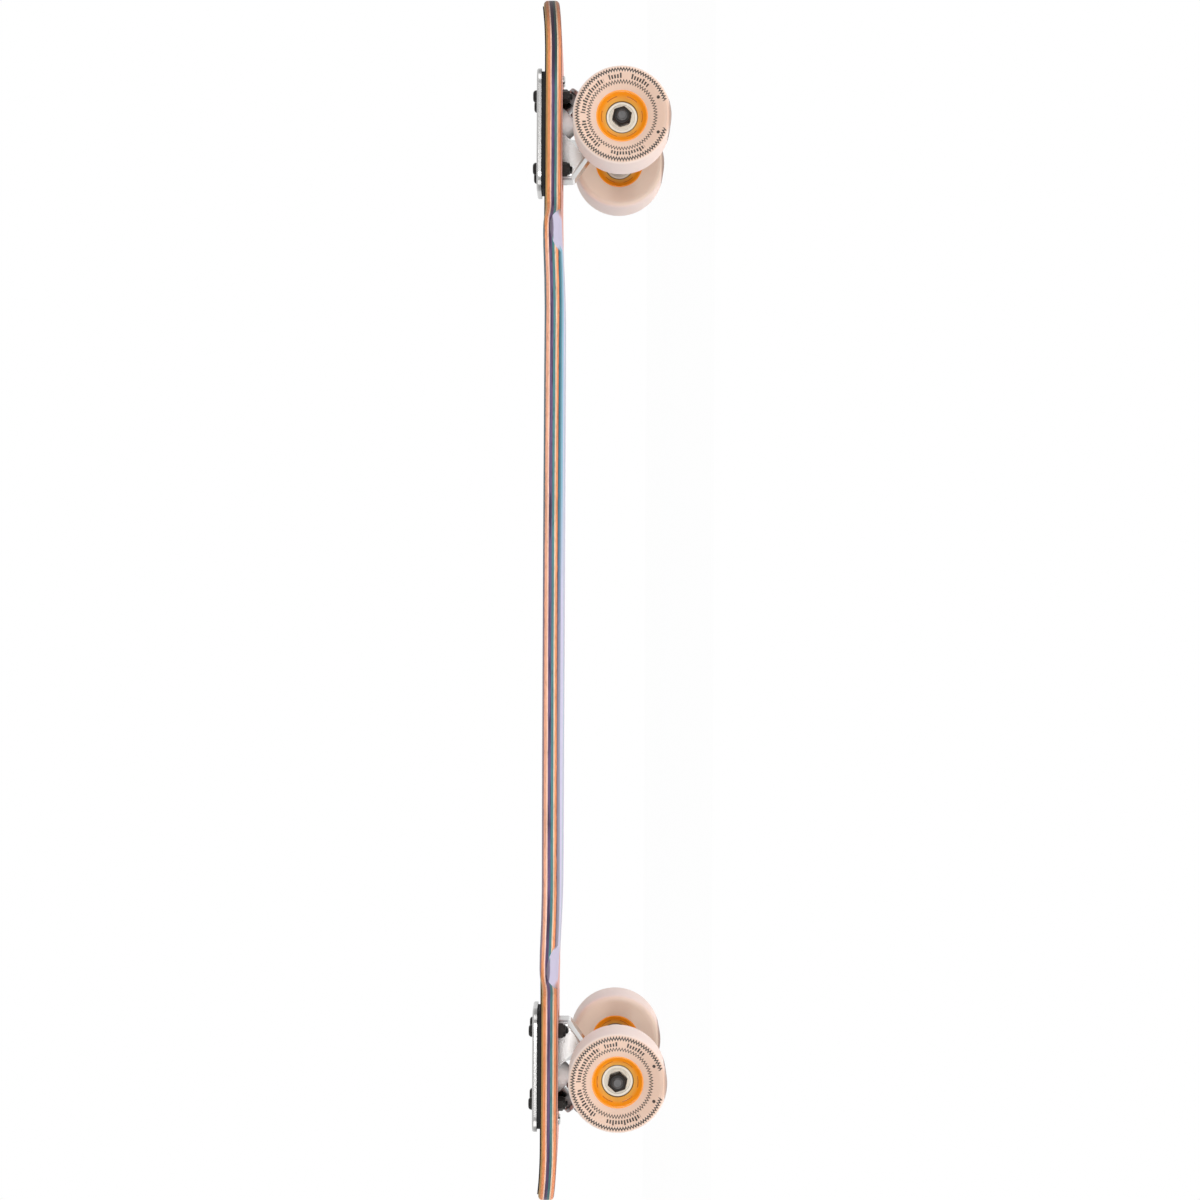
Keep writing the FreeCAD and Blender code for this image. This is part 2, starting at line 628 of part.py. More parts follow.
def make_cup_washer():
    """Washer whose rim cups the roadside bushing."""
    outer = CUP_WASHER_DIAMETER / 2
    inner = KINGPIN_DIAMETER / 2 + KINGPIN_HOLE_CLEARANCE
    lip = outer - CUP_WASHER_WALL
    rim = CUP_WASHER_W - CUP_WASHER_THICK
    ring = turned([(inner, CUP_WASHER_W, 0), (lip, CUP_WASHER_W, 0), (lip, rim, 0), (outer, rim, 0),
                   (outer, KINGPIN_NUT_W, CUP_WASHER_ROUND), (inner, KINGPIN_NUT_W, 0)])
    return placed(ring, UPRIGHT)


def make_bolt():
    """Domed mounting bolt, head on Z = 0, with a hexagon socket."""
    head = BOLT_HEAD_DIAMETER / 2
    nut_face = FLANGE_THICK + STACK_DROP + NUT_HEIGHT
    tip = threaded_tip(BOLT_RADIUS, nut_face, nut_face + BOLT_STUB, BOLT_THREAD_DEPTH, BOLT_BEVEL)
    profile = [(r, -y, corner) for r, y, corner in reversed(tip)]
    profile += [(BOLT_RADIUS, 0, 0), (head, 0, 0), (head, BOLT_HEAD_HEIGHT, BOLT_HEAD_ROUND),
                (0, BOLT_HEAD_HEIGHT, 0)]
    bolt = placed(turned(profile), UPRIGHT)
    socket_floor = BOLT_HEAD_HEIGHT - BOLT_SOCKET_DEPTH
    return bolt.cut(hexagon(BOLT_SOCKET_FLATS, socket_floor, BOLT_HEAD_HEIGHT + OVERCUT))


def axle_place():
    """Axle position in stack coordinates (u, w)."""
    angle = math.radians(PIVOT_ANGLE)
    x = -AXLE_INSET
    z = -TRUCK_HEIGHT
    return x * math.cos(angle) + z * math.sin(angle), x * math.sin(angle) - z * math.cos(angle)


def hanger_web():
    """Flat web from the bushing ring out to the axle, edges rounded, in stack coordinates."""
    axle_u, axle_w = axle_place()
    run_u = axle_u - KINGPIN_U
    run_w = axle_w - PIVOT_W
    lean = math.degrees(math.atan2(run_w, -run_u))
    arm = [(0, RING_DIAMETER / 2 - WEB_RING_INSET, 0), (WEB_WAIST_AT, WEB_WAIST, WEB_ROUND),
           (math.hypot(run_u, run_w), WEB_HALF_SPAN, 0)]
    outline = arm + [(x, -y, r) for x, y, r in reversed(arm)]
    web = slab(outline, -WEB_THICK / 2, WEB_THICK / 2)
    rims = []
    for edge in web.Edges:
        box = edge.BoundBox
        if box.ZLength < WEB_EDGE_ROUND < box.XLength:
            rims.append(edge)
    web = web.makeFillet(WEB_EDGE_ROUND, rims)
    web = placed(web, Placement(ORIGIN, Rotation(Y_AXIS, 180 + lean)))
    return shifted(web, KINGPIN_U, 0, PIVOT_W)


def axle_housing():
    """Turned housing round the axle, thickest in the middle, in stack coordinates."""
    half = HANGER_WIDTH / 2
    middle = HOUSING_MIDDLE / 2
    bore = AXLE_DIAMETER / 2
    right = [(bore, half, 0), (HOUSING_END_RADIUS, half, HOUSING_END_ROUND),
             (HOUSING_RADIUS, middle, HOUSING_BLEND)]
    left = [(radius, -y, corner) for radius, y, corner in reversed(right)]
    axle_u, axle_w = axle_place()
    return shifted(turned(right + left), axle_u, 0, axle_w)


def web_and_housing():
    """Web fused with the axle housing, the seam between them filleted."""
    body = hanger_web().fuse(axle_housing()).removeSplitter()
    axle_u, axle_w = axle_place()
    least_turn = math.radians(12)
    seam = []
    for edge, spot, normals in edge_facts(body):
        radius = math.hypot(spot.x - axle_u, spot.z - axle_w)
        on_housing = HOUSING_END_RADIUS < radius < HOUSING_RADIUS + HOUSING_END_ROUND / 10
        if on_housing and normals[0].getAngle(normals[1]) > least_turn:
            seam.append(edge)
    return body.makeFillet(WEB_SEAM_ROUND, seam)


def pivot_stem(front):
    """Stem that turns in the pivot cup, on a thicker boss from front to the ring, about the pivot axis."""
    seat = BUSHING_DIAMETER / 2 + BUSHING_SEAT_CLEARANCE
    end = TOWER_FRONT_U - PIVOT_CUP_LENGTH + PIVOT_CUP_FLOOR + STEM_END_GAP
    root = KINGPIN_U - (RING_HOLE_DIAMETER / 2 + seat) / 2
    stem = turned([(0, end, 0), (STEM_RADIUS, end, STEM_TIP_ROUND), (STEM_RADIUS, front, 0),
                   (STEM_BOSS_RADIUS, front, 0), (STEM_BOSS_RADIUS, root, 0), (0, root, 0)])
    return placed(stem, Placement(Vector(0, 0, PIVOT_W), Rotation(Z_AXIS, -90)))


def make_hanger():
    """Cast hanger in stack coordinates: bushing ring, web, axle housing and pivot stem."""
    axle_u, axle_w = axle_place()
    ring_radius = RING_DIAMETER / 2
    seat = BUSHING_DIAMETER / 2 + BUSHING_SEAT_CLEARANCE
    above = RING_TOP_W - WEB_THICK
    below = RING_BASE_W + WEB_THICK
    sweep = math.sin(math.radians(STEER_LIMIT))
    flare = CUP_WASHER_DIAMETER / 2 + (KINGPIN_END_W - PIVOT_W) * sweep + SWEEP_CLEARANCE
    roadside = Part.makeCone(ring_radius, flare, KINGPIN_END_W - RING_BASE_W, Vector(0, 0, RING_BASE_W))
    boardside = Part.makeCone(ring_radius + RING_RELIEF, ring_radius, WEB_THICK, Vector(0, 0, above))
    round_kingpin = [
        roadside,
        boardside,
        tube(RING_HOLE_DIAMETER / 2, 0, -FAR, FAR),
        tube(seat, 0, above, RING_WEB_W),
        tube(seat, 0, ROADSIDE_W, below),
    ]
    round_kingpin = [shifted(cutter, x=KINGPIN_U) for cutter in round_kingpin]

    front = TOWER_FRONT_U + SWEEP_CLEARANCE
    depth = TOWER_LENGTH + 4 * SWEEP_CLEARANCE
    window = shifted(tongue(SWEEP_CLEARANCE).extrude(X_AXIS * -depth), x=front)
    pivot = Vector(0, 0, PIVOT_W)
    openings = [Part.makeCylinder(AXLE_DIAMETER / 2, 2 * FAR, Vector(axle_u, -FAR, axle_w), Y_AXIS)]
    for turn in (-STEER_LIMIT, 0, STEER_LIMIT):
        openings.append(placed(window, Placement(ORIGIN, Rotation(X_AXIS, turn), pivot)))

    ring = shifted(tube(ring_radius, 0, RING_TOP_W, RING_BASE_W), x=KINGPIN_U)
    body = web_and_housing().fuse(ring).cut(round_kingpin + openings)
    stem = pivot_stem(front).cut(round_kingpin)
    return body.fuse(stem).removeSplitter().Solids[0]


def make_axle_set():
    """Pieces on the axle, about Y at Y = 0: axle, nuts, washers, bearing inner rings and spacers."""
    radius = AXLE_DIAMETER / 2
    nut_face = AXLE_NUT_Y + AXLE_NUT_HEIGHT
    tip = threaded_tip(radius, nut_face, nut_face + AXLE_STUB, THREAD_DEPTH, THREAD_BEVEL)
    axle = turned([(r, -y, corner) for r, y, corner in reversed(tip)] + tip)
    bore = radius + AXLE_BORE_CLEARANCE
    gap = BEARING_GAP / 2
    stopped = Placement(ORIGIN, Rotation(Z_AXIS, AXLE_NUT_TURN))
    nut = placed(lock_nut(AXLE_NUT_FLATS, AXLE_NUT_HEIGHT, bore), stopped, ALONG_Y)
    washer = placed(tube(SPEED_WASHER_DIAMETER / 2, bore, 0, SPEED_WASHER_THICK), ALONG_Y)
    spacer = placed(tube(bore + SPACER_WALL, bore, -gap, gap), ALONG_Y)
    inner = bearing_inner_ring()
    washers = [shifted(washer, y=HANGER_WIDTH / 2), shifted(washer, y=AXLE_NUT_Y - SPEED_WASHER_THICK)]
    rings = [shifted(inner, y=WHEEL_Y + side * bearing_centre()) for side in (-1, 1)]
    one_side = {"axle_nuts": [shifted(nut, y=AXLE_NUT_Y)], "speed_washers": washers,
                "bearing_inner_rings": rings, "bearing_spacers": [shifted(spacer, y=WHEEL_Y)]}
    pieces = {"axle": [axle]}
    for name, solids in one_side.items():
        pieces[name] = solids + [placed(solid, HALF_TURN) for solid in solids]
    return pieces


def bearing_centre():
    """Middle of a bearing, from the middle of its wheel."""
    return (BEARING_GAP + BEARING_WIDTH) / 2


def ball_track():
    """Pitch radius of the balls."""
    return (BEARING_DIAMETER + BEARING_BORE) / 4


def race_groove(clearance):
    """Ring-shaped cutter that the balls run in."""
    return Part.makeTorus(ball_track(), BALL_DIAMETER / 2 + clearance, ORIGIN, Y_AXIS)


def bearing_inner_ring():
    """Inner ring about Y, centred on Y = 0, with its ball groove."""
    half = BEARING_WIDTH / 2
    bore = BEARING_BORE / 2
    wall = bore + RING_WALL
    ring = turned([(bore, -half, 0), (wall, -half, RING_ROUND), (wall, half, RING_ROUND), (bore, half, 0)])
    return ring.cut(race_groove(BALL_CLEARANCE))


def make_wheel():
    """Pieces that turn with a wheel, about Y, centred on Y = 0."""
    radius = WHEEL_DIAMETER / 2
    half = WHEEL_WIDTH / 2
    core = CORE_DIAMETER / 2
    rim = half - DISH_DEPTH
    waist = core - CORE_WAIST
    lock = [(core, rim, 0), (core, rim - CORE_FLANGE, 0), (waist, rim - CORE_FLANGE - CORE_WAIST, 0)]
    joint = lock + [(r, -y, c) for r, y, c in reversed(lock)]
    band = radius - WHEEL_FACE_BAND
    face = [(band, half, WHEEL_FACE_BAND), (radius, half, WHEEL_LIP_ROUND)]
    tyre = turned(joint + [(r, -y, c) for r, y, c in face] + list(reversed(face)))

    stack = BEARING_STACK / 2
    seat = BEARING_DIAMETER / 2
    shelf = BEARING_GAP / 2
    mouth = [(core - CORE_RIM, rim, CORE_MOUTH_ROUND),
             (CORE_MOUTH_DIAMETER / 2, stack + CORE_SEAT_LIP, CORE_MOUTH_ROUND),
             (seat, stack, 0), (seat, shelf, 0), (seat - RING_WALL, shelf, 0)]
    hub = turned(joint + [(r, -y, c) for r, y, c in mouth] + list(reversed(mouth)))

    wide = BEARING_WIDTH / 2
    race = seat - RING_WALL
    outer = turned([(race, -wide, 0), (seat, -wide, RING_ROUND), (seat, wide, RING_ROUND), (race, wide, 0)])
    outer = outer.cut(race_groove(BALL_CLEARANCE))
    bore = BEARING_BORE / 2 + RING_WALL + SHIELD_GAP
    low = wide - SHIELD_INSET - SHIELD_THICK
    high = wide - SHIELD_INSET
    crease = (race + bore) / 2
    shield = turned([(bore, low, 0), (race, low, 0), (race, high, 0), (crease + SHIELD_CREASE, high, 0),
                     (crease, high - SHIELD_THICK / 2, 0), (crease - SHIELD_CREASE, high, 0),
                     (bore, high, 0)])
    back = placed(shield, UPSIDE_DOWN)
    balls = []
    for step in range(BALL_COUNT):
        turn = Rotation(Y_AXIS, 360 * step / BALL_COUNT)
        balls.append(Part.makeSphere(BALL_DIAMETER / 2, turn.multVec(Vector(ball_track(), 0, 0))))
    pieces = {"tyre": [tyre], "core": [hub]}
    for name, solids in {"outer_rings": [outer], "shields": [shield, back], "balls": balls}.items():
        places = [side * bearing_centre() for side in (-1, 1)]
        pieces["bearing_" + name] = [shifted(solid, y=place) for place in places for solid in solids]
    return pieces


def make_truck():
    """All pieces of one truck without its wheels, in the truck frame."""
    kingpin_nut = lock_nut(KINGPIN_NUT_FLATS, KINGPIN_NUT_HEIGHT, KINGPIN_DIAMETER / 2)
    on_kingpin = {"kingpin": make_kingpin(), "boardside_bushing": make_boardside_bushing(),
                  "roadside_bushing": make_roadside_bushing(), "cup_washer": make_cup_washer(),
                  "kingpin_nut": shifted(kingpin_nut, z=KINGPIN_NUT_W)}
    pieces = {"riser": [make_riser()], "baseplate": [make_baseplate()]}
    for name, solid in on_kingpin.items():
        pieces[name] = [placed(shifted(solid, x=KINGPIN_U), STACK)]
    pieces["pivot_cup"] = [placed(make_pivot_cup(), STACK)]
    pieces["hanger"] = [placed(make_hanger(), STACK)]
    bolt = make_bolt()
    nut = placed(lock_nut(NUT_FLATS, NUT_HEIGHT, BOLT_RADIUS), UPSIDE_DOWN)
    pieces["mounting_bolts"] = [shifted(bolt, x, y, FLANGE_THICK) for x, y in bolt_places()]
    pieces["mounting_nuts"] = [shifted(nut, x, y, -STACK_DROP) for x, y in bolt_places()]
    for name, solids in make_axle_set().items():
        pieces[name] = [shifted(solid, -AXLE_INSET, 0, -TRUCK_HEIGHT) for solid in solids]
    return pieces


def save(name, solids):
    """Write one node as a STEP file."""
    shape = solids[0] if len(solids) == 1 else Part.makeCompound(solids)
    shape.exportStep(os.path.join("parts", name + ".step"))


def main():
    os.makedirs("parts", exist_ok=True)
    for name, solids in make_deck().items():
        save(name, solids)
    ends = {"front": (1, Placement()), "rear": (-1, HALF_TURN)}
    at_bolts = Placement(Vector(BOLT_X, 0, FLANGE_Z), Rotation())
    truck = make_truck()
    wheel = make_wheel()
    for end, (forward, turn) in ends.items():
        for name, solids in truck.items():
            save(end + "_" + name, [placed(solid, at_bolts, turn) for solid in solids])
        for side, sign in (("left", 1), ("right", -1)):
            for name, solids in wheel.items():
                mounted = [shifted(solid, forward * AXLE_X, sign * WHEEL_Y, AXLE_Z) for solid in solids]
                save(end + "_" + side + "_" + name, mounted)


main()
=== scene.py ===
import math

import bpy
import numpy as np
from bpy.props import FloatProperty, FloatVectorProperty, IntProperty, PointerProperty
from mathutils import Matrix, Vector


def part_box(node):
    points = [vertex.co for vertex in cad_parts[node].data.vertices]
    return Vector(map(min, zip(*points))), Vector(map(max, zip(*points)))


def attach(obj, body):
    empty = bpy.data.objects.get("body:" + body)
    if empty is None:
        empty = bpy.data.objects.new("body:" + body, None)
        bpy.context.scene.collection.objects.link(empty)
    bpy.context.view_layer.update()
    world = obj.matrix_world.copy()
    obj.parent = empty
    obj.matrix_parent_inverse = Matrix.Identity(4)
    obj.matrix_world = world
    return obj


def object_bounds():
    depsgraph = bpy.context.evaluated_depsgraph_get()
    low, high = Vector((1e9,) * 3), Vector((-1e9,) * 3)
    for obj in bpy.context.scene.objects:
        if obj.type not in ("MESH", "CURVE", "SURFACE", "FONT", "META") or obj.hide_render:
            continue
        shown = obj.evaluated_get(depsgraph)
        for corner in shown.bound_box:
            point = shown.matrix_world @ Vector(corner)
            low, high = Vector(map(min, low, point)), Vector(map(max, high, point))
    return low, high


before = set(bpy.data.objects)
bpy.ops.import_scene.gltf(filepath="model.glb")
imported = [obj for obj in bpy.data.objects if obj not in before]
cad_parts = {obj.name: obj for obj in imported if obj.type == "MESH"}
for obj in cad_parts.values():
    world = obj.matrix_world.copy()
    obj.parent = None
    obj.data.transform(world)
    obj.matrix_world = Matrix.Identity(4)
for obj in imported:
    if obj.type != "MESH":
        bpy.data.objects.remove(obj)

bl_info = {
    "name": "Drop-Through Longboard",
    "version": (1, 0, 0),
    "blender": (4, 5, 0),
    "location": "View3D > Sidebar > Longboard",
    "description": "Finishes and small details for a drop-through longboard with reverse-kingpin trucks",
    "category": "Object",
}

# Row frame, metres: +X to the nose, +Y to the left, +Z up, wheels on Z = 0.
CAD_BOX = [list(corner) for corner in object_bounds()]
NOSE = CAD_BOX[1][0]
ENDS = {"front": 1, "rear": -1}
SIDES = {"left": 1, "right": -1}
WHITE = (1.0, 1.0, 1.0, 1.0)
FULL_TURN = 2 * math.pi

# Points along and round the grid of a threaded tip.
THREAD_ROWS = 17
THREAD_SIDES = 40

# Groups of ticks on a wheel face: middle angle and half width in radians. Every fourth tick is longer.
TICK_GROUPS = ((1.02, 0.52), (2.12, 0.40), (-2.98, 0.46), (-0.50, 0.26), (0.18, 0.17))
TICKS_TO_LONG = 4.0


def centre_of(node):
    """Middle of a CAD node's box at rest."""
    low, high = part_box(node)
    return (Vector(low) + Vector(high)) / 2


WHEELS = {f"{end}_{side}": centre_of(f"{end}_{side}_tyre") for end in ENDS for side in SIDES}


def tint(name, description, default):
    """Colour property, written as it looks on screen."""
    return FloatVectorProperty(name=name, description=description, default=default, subtype="COLOR_GAMMA",
                               size=3, min=0.0, max=1.0)


def length(name, description, default):
    """Length property in metres."""
    return FloatProperty(name=name, description=description, default=default, unit="LENGTH",
                         subtype="DISTANCE", precision=5)


def lengths(name, description, default):
    """Several lengths in metres, such as a place, a size or two radii."""
    return FloatVectorProperty(name=name, description=description, default=default, unit="LENGTH",
                               size=len(default), precision=5)


def angle(name, description, default):
    """Angle property in radians."""
    return FloatProperty(name=name, description=description, default=default, subtype="ANGLE", precision=5)


def share(name, description, default):
    """Plain number property."""
    return FloatProperty(name=name, description=description, default=default, min=0.0)


def whole(name, description, default):
    """Whole number property."""
    return IntProperty(name=name, description=description, default=default, min=1)


class DeckLook(bpy.types.PropertyGroup):
    """Plies, paint and grip of the deck."""
    floor_z: length("Platform underside", "Height of the deck's underside in the middle", 0.0759)
    drop: length("Platform drop", "How far the middle lies below the truck flats", 0.0025)
    step_start: length("Bend start", "Where the bend up to the truck flat begins, from the middle", 0.2004)
    step_end: length("Bend end", "Where that bend ends, from the middle", 0.3004)
    kick_start: length("Nose lift start", "Where the nose starts to rise, from the middle", 0.3964)
    kick_radius: length("Nose lift radius", "Radius of the rising nose", 0.42)
    flat_half: length("Flat half width", "Half of the flat width before the rails rise", 0.075)
    concave_radius: length("Rail radius", "Radius of the rising rails", 0.42)
    half_width: length("Half width", "Half of the deck's width in the middle", 0.119)
    taper: length("Side taper", "How far each side draws in towards the shoulder", 0.0055)
    shoulder: length("Shoulder", "Where the wide part ends, from the middle", 0.2694)
    bottom_ply: tint("Bottom ply", "Orange-stained ply against the underside", (0.91, 0.58, 0.41))
    low_core: tint("Low core ply", "Cream ply above the bottom ply", (0.90, 0.79, 0.67))
    teal_ply: tint("Teal ply", "Teal-stained ply", (0.31, 0.51, 0.52))
    purple_ply: tint("Purple ply", "Purple-stained ply", (0.41, 0.33, 0.47))
    high_core: tint("High core ply", "Peach ply above the purple ply", (0.95, 0.78, 0.70))
    orange_ply: tint("Orange ply", "Thick orange-stained ply", (0.90, 0.58, 0.38))
    top_ply: tint("Top ply", "Amber ply under the grip", (0.77, 0.60, 0.36))
    bottom_thick: length("Bottom ply thickness", "Thickness of the bottom ply", 0.0025)
    core_thick: length("Core ply thickness", "Thickness of the cream and peach plies", 0.00095)
    teal_thick: length("Teal ply thickness", "Thickness of the teal ply", 0.0017)
    purple_thick: length("Purple ply thickness", "Thickness of the purple ply", 0.00225)
    orange_thick: length("Orange ply thickness", "Thickness of the upper orange ply", 0.0020)
    top_thick: length("Top ply thickness", "Thickness of the top ply", 0.00125)
    faded: tint("Faded edge", "Paler upper plies along the wide sides", (0.92, 0.75, 0.69))
    faded_height: length("Faded height", "Height above which those plies are paler", 0.0083)
    fade: length("Fade", "Length over which fading and wear set in", 0.03)
    # Also the colour of the painted shade in the dark band along the rounded rail edges.
    grime_and_edge_shade: tint("Grime", "Dirt rubbed into the tips", (0.20, 0.15, 0.14))
    pink: tint("Paint, pink", "Paint near the trucks", (0.92, 0.67, 0.61))
    lilac: tint("Paint, lilac", "Paint in the rear half", (0.80, 0.78, 0.88))
    mist: tint("Paint, mist", "Lilac grey paint in the middle", (0.74, 0.73, 0.77))
    sky: tint("Paint, sky", "Light blue paint", (0.47, 0.71, 0.80))
    teal: tint("Paint, teal", "Border paint in the front half", (0.11, 0.43, 0.49))
    slate: tint("Paint, slate", "Border paint in the middle", (0.36, 0.44, 0.55))
    mauve: tint("Paint, mauve", "Border paint in the rear half", (0.52, 0.49, 0.55))
    pearl: tint("Paint, pearl", "Pale lines between the bands", (0.90, 0.88, 0.88))
    border: length("Border width", "Width of the painted border along the rails", 0.0138)
    field: length("Field inset", "Where the field beside the border meets the bands, from the rail", 0.034)
    end_wave: length("End wave", "How far the ends of the paint swing", 0.008)
    wave: length("Wave height", "How far the painted bands swing", 0.016)
    wave_pitch: length("Wave pitch", "Length of one painted wave", 0.27)
    well_rise: length("Well paint height", "How far up the wheel wells are painted", 0.0053)
    well_peak: length("Well paint peak", "Where that height is reached, from the middle", 0.262)
    well_least: length("Well paint, least", "Height below which the underside is always painted", 0.0032)
    well_slope: share("Well paint slope", "How fast that height falls towards the middle", 0.09)
    scoop_height: length("Scoop height", "Height above which the wells are lilac", 0.0017)
    grip: tint("Grip", "Colour of the grip tape", (0.078, 0.078, 0.082))
    grip_fleck: tint("Grip flecks", "Colour of the bright grains in the grip", (0.36, 0.36, 0.37))


class WheelLook(bpy.types.PropertyGroup):
    """Tyres, cores and bearings; a ring is given by its inner and outer radius."""
    tyre: tint("Tyre", "Colour of the printed outer face", (0.878, 0.760, 0.684))
    # Painted light: the inner face is lighter than the printed face, in place of light it lacks in the shade
    # between wheels and deck.
    inside: tint("Tyre, inner face", "Colour of the plain inner face", (0.920, 0.840, 0.765))
    tread: tint("Tread", "Colour of the ground tread", (0.945, 0.868, 0.826))
    tread_start: length("Tread start", "Radius at which the face rolls over to the tread", 0.0339)
    ink: tint("Print", "Colour of the printed marks", (0.03, 0.018, 0.015))
    outer_ring: lengths("Outer zigzag", "Ring of the outer zigzag", (0.0299, 0.0337))
    inner_ring: lengths("Inner zigzag", "Ring of the inner zigzag", (0.0220, 0.0255))
    outer_teeth: whole("Outer teeth", "Zigzags in the outer ring", 100)
    inner_teeth: whole("Inner teeth", "Zigzags in the inner ring", 74)
    outer_bold: share("Outer boldness", "Share of the ring's width that its line takes", 0.46)
    inner_bold: share("Inner boldness", "Share of the ring's width that its line takes", 0.36)
    outer_gap: angle("Outer gap", "Half of the empty stretch of the outer ring", 0.31)
    tick_ring: lengths("Ticks", "Ring of the scale of ticks", (0.0261, 0.0293))
    ticks: whole("Tick count", "Ticks in a full turn of the scale", 84)
    dot_radius: length("Dots, radius", "Radius at which the two dots lie", 0.0284)
    dot_angle: angle("Dots, angle", "Angle of each dot from the ground side", 0.45)
    dot_size: length("Dot size", "Radius of a dot", 0.0013)
    core: tint("Core", "Colour of the core", (1.0, 0.595, 0.09))
    # Painted highlight: a lighter colour towards the bearing, in place of the highlight on the core's sloped
    # mouth.
    core_painted_highlight: tint("Core, thin parts", "Colour of the core where it thins inwards", (1.0, 0.74, 0.36))
    # Painted shade: colour of the recessed moulded dashes.
    core_shade: tint("Core, creases", "Colour in the moulded lines of the core", (0.70, 0.33, 0.05))
    # Ring over which that painted highlight fades out.
    painted_highlight_ring: lengths("Thin part", "Ring in which the core thins", (0.0122, 0.0160))
    dash_ring: lengths("Dashes", "Ring of the moulded dashes", (0.0142, 0.0147))
    dashes: whole("Dash count", "Moulded dashes in a full turn", 6)
    rim_ring: lengths("Core rim", "Ring of the moulded line at the rim", (0.0172, 0.0174))
    # Painted shadow: radius of the dark line in the core at its seam with the bearing.
    core_seam: length("Core seam", "Radius of the dark seam in the core", 0.0115)
    shield: tint("Bearing face", "Enamel on shields and outer rings", (0.915, 0.895, 0.840))
    # Painted shadow: colour of the dark line at the seam of bearing and core, also painted shade in the
    # pressed rings.
    seam: tint("Bearing seam", "Dark line round the bearing", (0.30, 0.22, 0.15))
    # Painted shadow: the bearing face darkens from this radius outwards.
    seam_start: length("Bearing seam radius", "Radius at which that line starts", 0.01075)
    outer_press: lengths("Outer pressed ring", "Outer ring pressed into a shield", (0.0089, 0.0091))
    inner_press: lengths("Inner pressed ring", "Inner ring pressed into a shield", (0.0067, 0.0068))


class TruckLook(bpy.types.PropertyGroup):
    """Castings, bushings and hardware."""
    baseplate: tint("Baseplate alloy", "Colour of the polished baseplates", (0.74, 0.735, 0.73))
    hanger: tint("Hanger alloy", "Colour of the polished hangers", (0.54, 0.54, 0.54))
    # Painted shade: the castings take this colour in creases and where parts meet, in place of shade.
    alloy_painted_crease_shade: tint("Alloy, creases", "Colour of the castings where parts meet", (0.20, 0.20, 0.205))
    steel: tint("Steel", "Colour of plain steel", (0.66, 0.66, 0.67))
    axle: tint("Axle steel", "Colour of the axle", (0.33, 0.325, 0.325))
    black_steel: tint("Black steel", "Colour of the blackened bolts and nuts", (0.125, 0.118, 0.112))
    rubber: tint("Riser", "Colour of the riser pads", (0.10, 0.10, 0.102))
    boardside: tint("Boardside bushing", "Colour of the barrel bushing", (0.985, 0.98, 0.97))
    roadside: tint("Roadside bushing", "Colour of the tapered bushing", (0.42, 0.41, 0.41))
    pivot: tint("Pivot cup", "Colour of the pivot cup", (0.16, 0.16, 0.17))
    # Reach of that painted crease shade.
    crease_shade_reach: length("Crease reach", "How close a neighbour darkens the castings", 0.012)
    thread_pitch: length("Thread pitch", "Step from one thread to the next", 0.00095)
    thread_depth: length("Thread depth", "Depth of the threads", 0.00045)
    stub: length("Axle stub", "Axle past its nut", 0.002)
    kingpin_reach: length("Kingpin reach", "Kingpin tip from the middle of the boardside bushing", 0.034)
    kingpin_stub: length("Kingpin stub", "Kingpin past its nut", 0.0026)
    kingpin_radius: length("Kingpin radius", "Radius of the kingpin", 0.00475)
    bolt_stub: length("Bolt stub", "Mounting bolt past its nut", 0.0018)
    bolt_radius: length("Bolt radius", "Radius of a mounting bolt", 0.0024)
    bolt_head: length("Bolt head radius", "Radius of a mounting bolt's head", 0.00465)
    tip_bevel: length("Tip bevel", "Bevelled end of every threaded tip", 0.0005)


class StageLook(bpy.types.PropertyGroup):
    """Camera, floor and light."""
    distance: length("Camera distance", "Camera from the middle of the board", 2.0945)
    height: length("Camera height", "Camera above the ground", 0.0528)
    along: length("Camera along the board", "Camera towards the nose", -0.018)
    focal: share("Focal length", "Lens, in mm", 83.66)
    sensor: share("Sensor", "Width of the camera's sensor, in mm", 36.0)
    roll: angle("Roll", "Turn of the board in the picture", math.radians(0.267))
    aim_right: angle("Aim right", "Aim beside the square view", 0.00197)
    aim_up: angle("Aim up", "Aim above the square view", 0.00849)
    floor: tint("Floor", "Colour of the floor", (0.95, 0.95, 0.95))
    floor_lift: share("Floor lift", "How far the floor is lifted to plain white", 0.975)
    floor_half: lengths("Floor half size", "Half of the floor's length and width", (1.1, 0.85))
    floor_depth: length("Floor depth", "Floor below the wheels", 0.0002)
    ambient: share("Ambient", "Strength of the light from all round", 0.50)
    light_aim: lengths("Light aim", "Point that key and fill lights face", (0.0, 0.0, 0.06))
    key: share("Key light", "Power of the soft lamp behind the camera", 24.0)
    key_place: lengths("Key light place", "Middle of the key light", (-0.02, -2.6, 0.16))
    key_size: lengths("Key light size", "Width and height of the key light", (1.1, 0.6))
    fill: share("Fill light", "Power of each soft lamp past the tips", 13.0)
    fill_place: lengths("Fill light place", "Middle of the fill light past the nose", (2.2, -1.2, 0.10))
    fill_size: lengths("Fill light size", "Width and height of each fill light", (1.6, 1.2))
    table: share("Table light", "Power of the light table under the board", 5.0)
    table_size: lengths("Table light size", "Length and width of the light table", (2.1, 1.6))
    table_depth: length("Table light depth", "Light table below the wheels", 0.0001)


def linear(colour, shade=1.0):
    """Screen colour to the linear colour that shaders take, times a shade."""
    values = np.asarray(colour, dtype=float)
    low = values / 12.92
    high = ((values + 0.055) / 1.055) ** 2.4
    return (*(np.where(values <= 0.04045, low, high) * shade), 1.0)


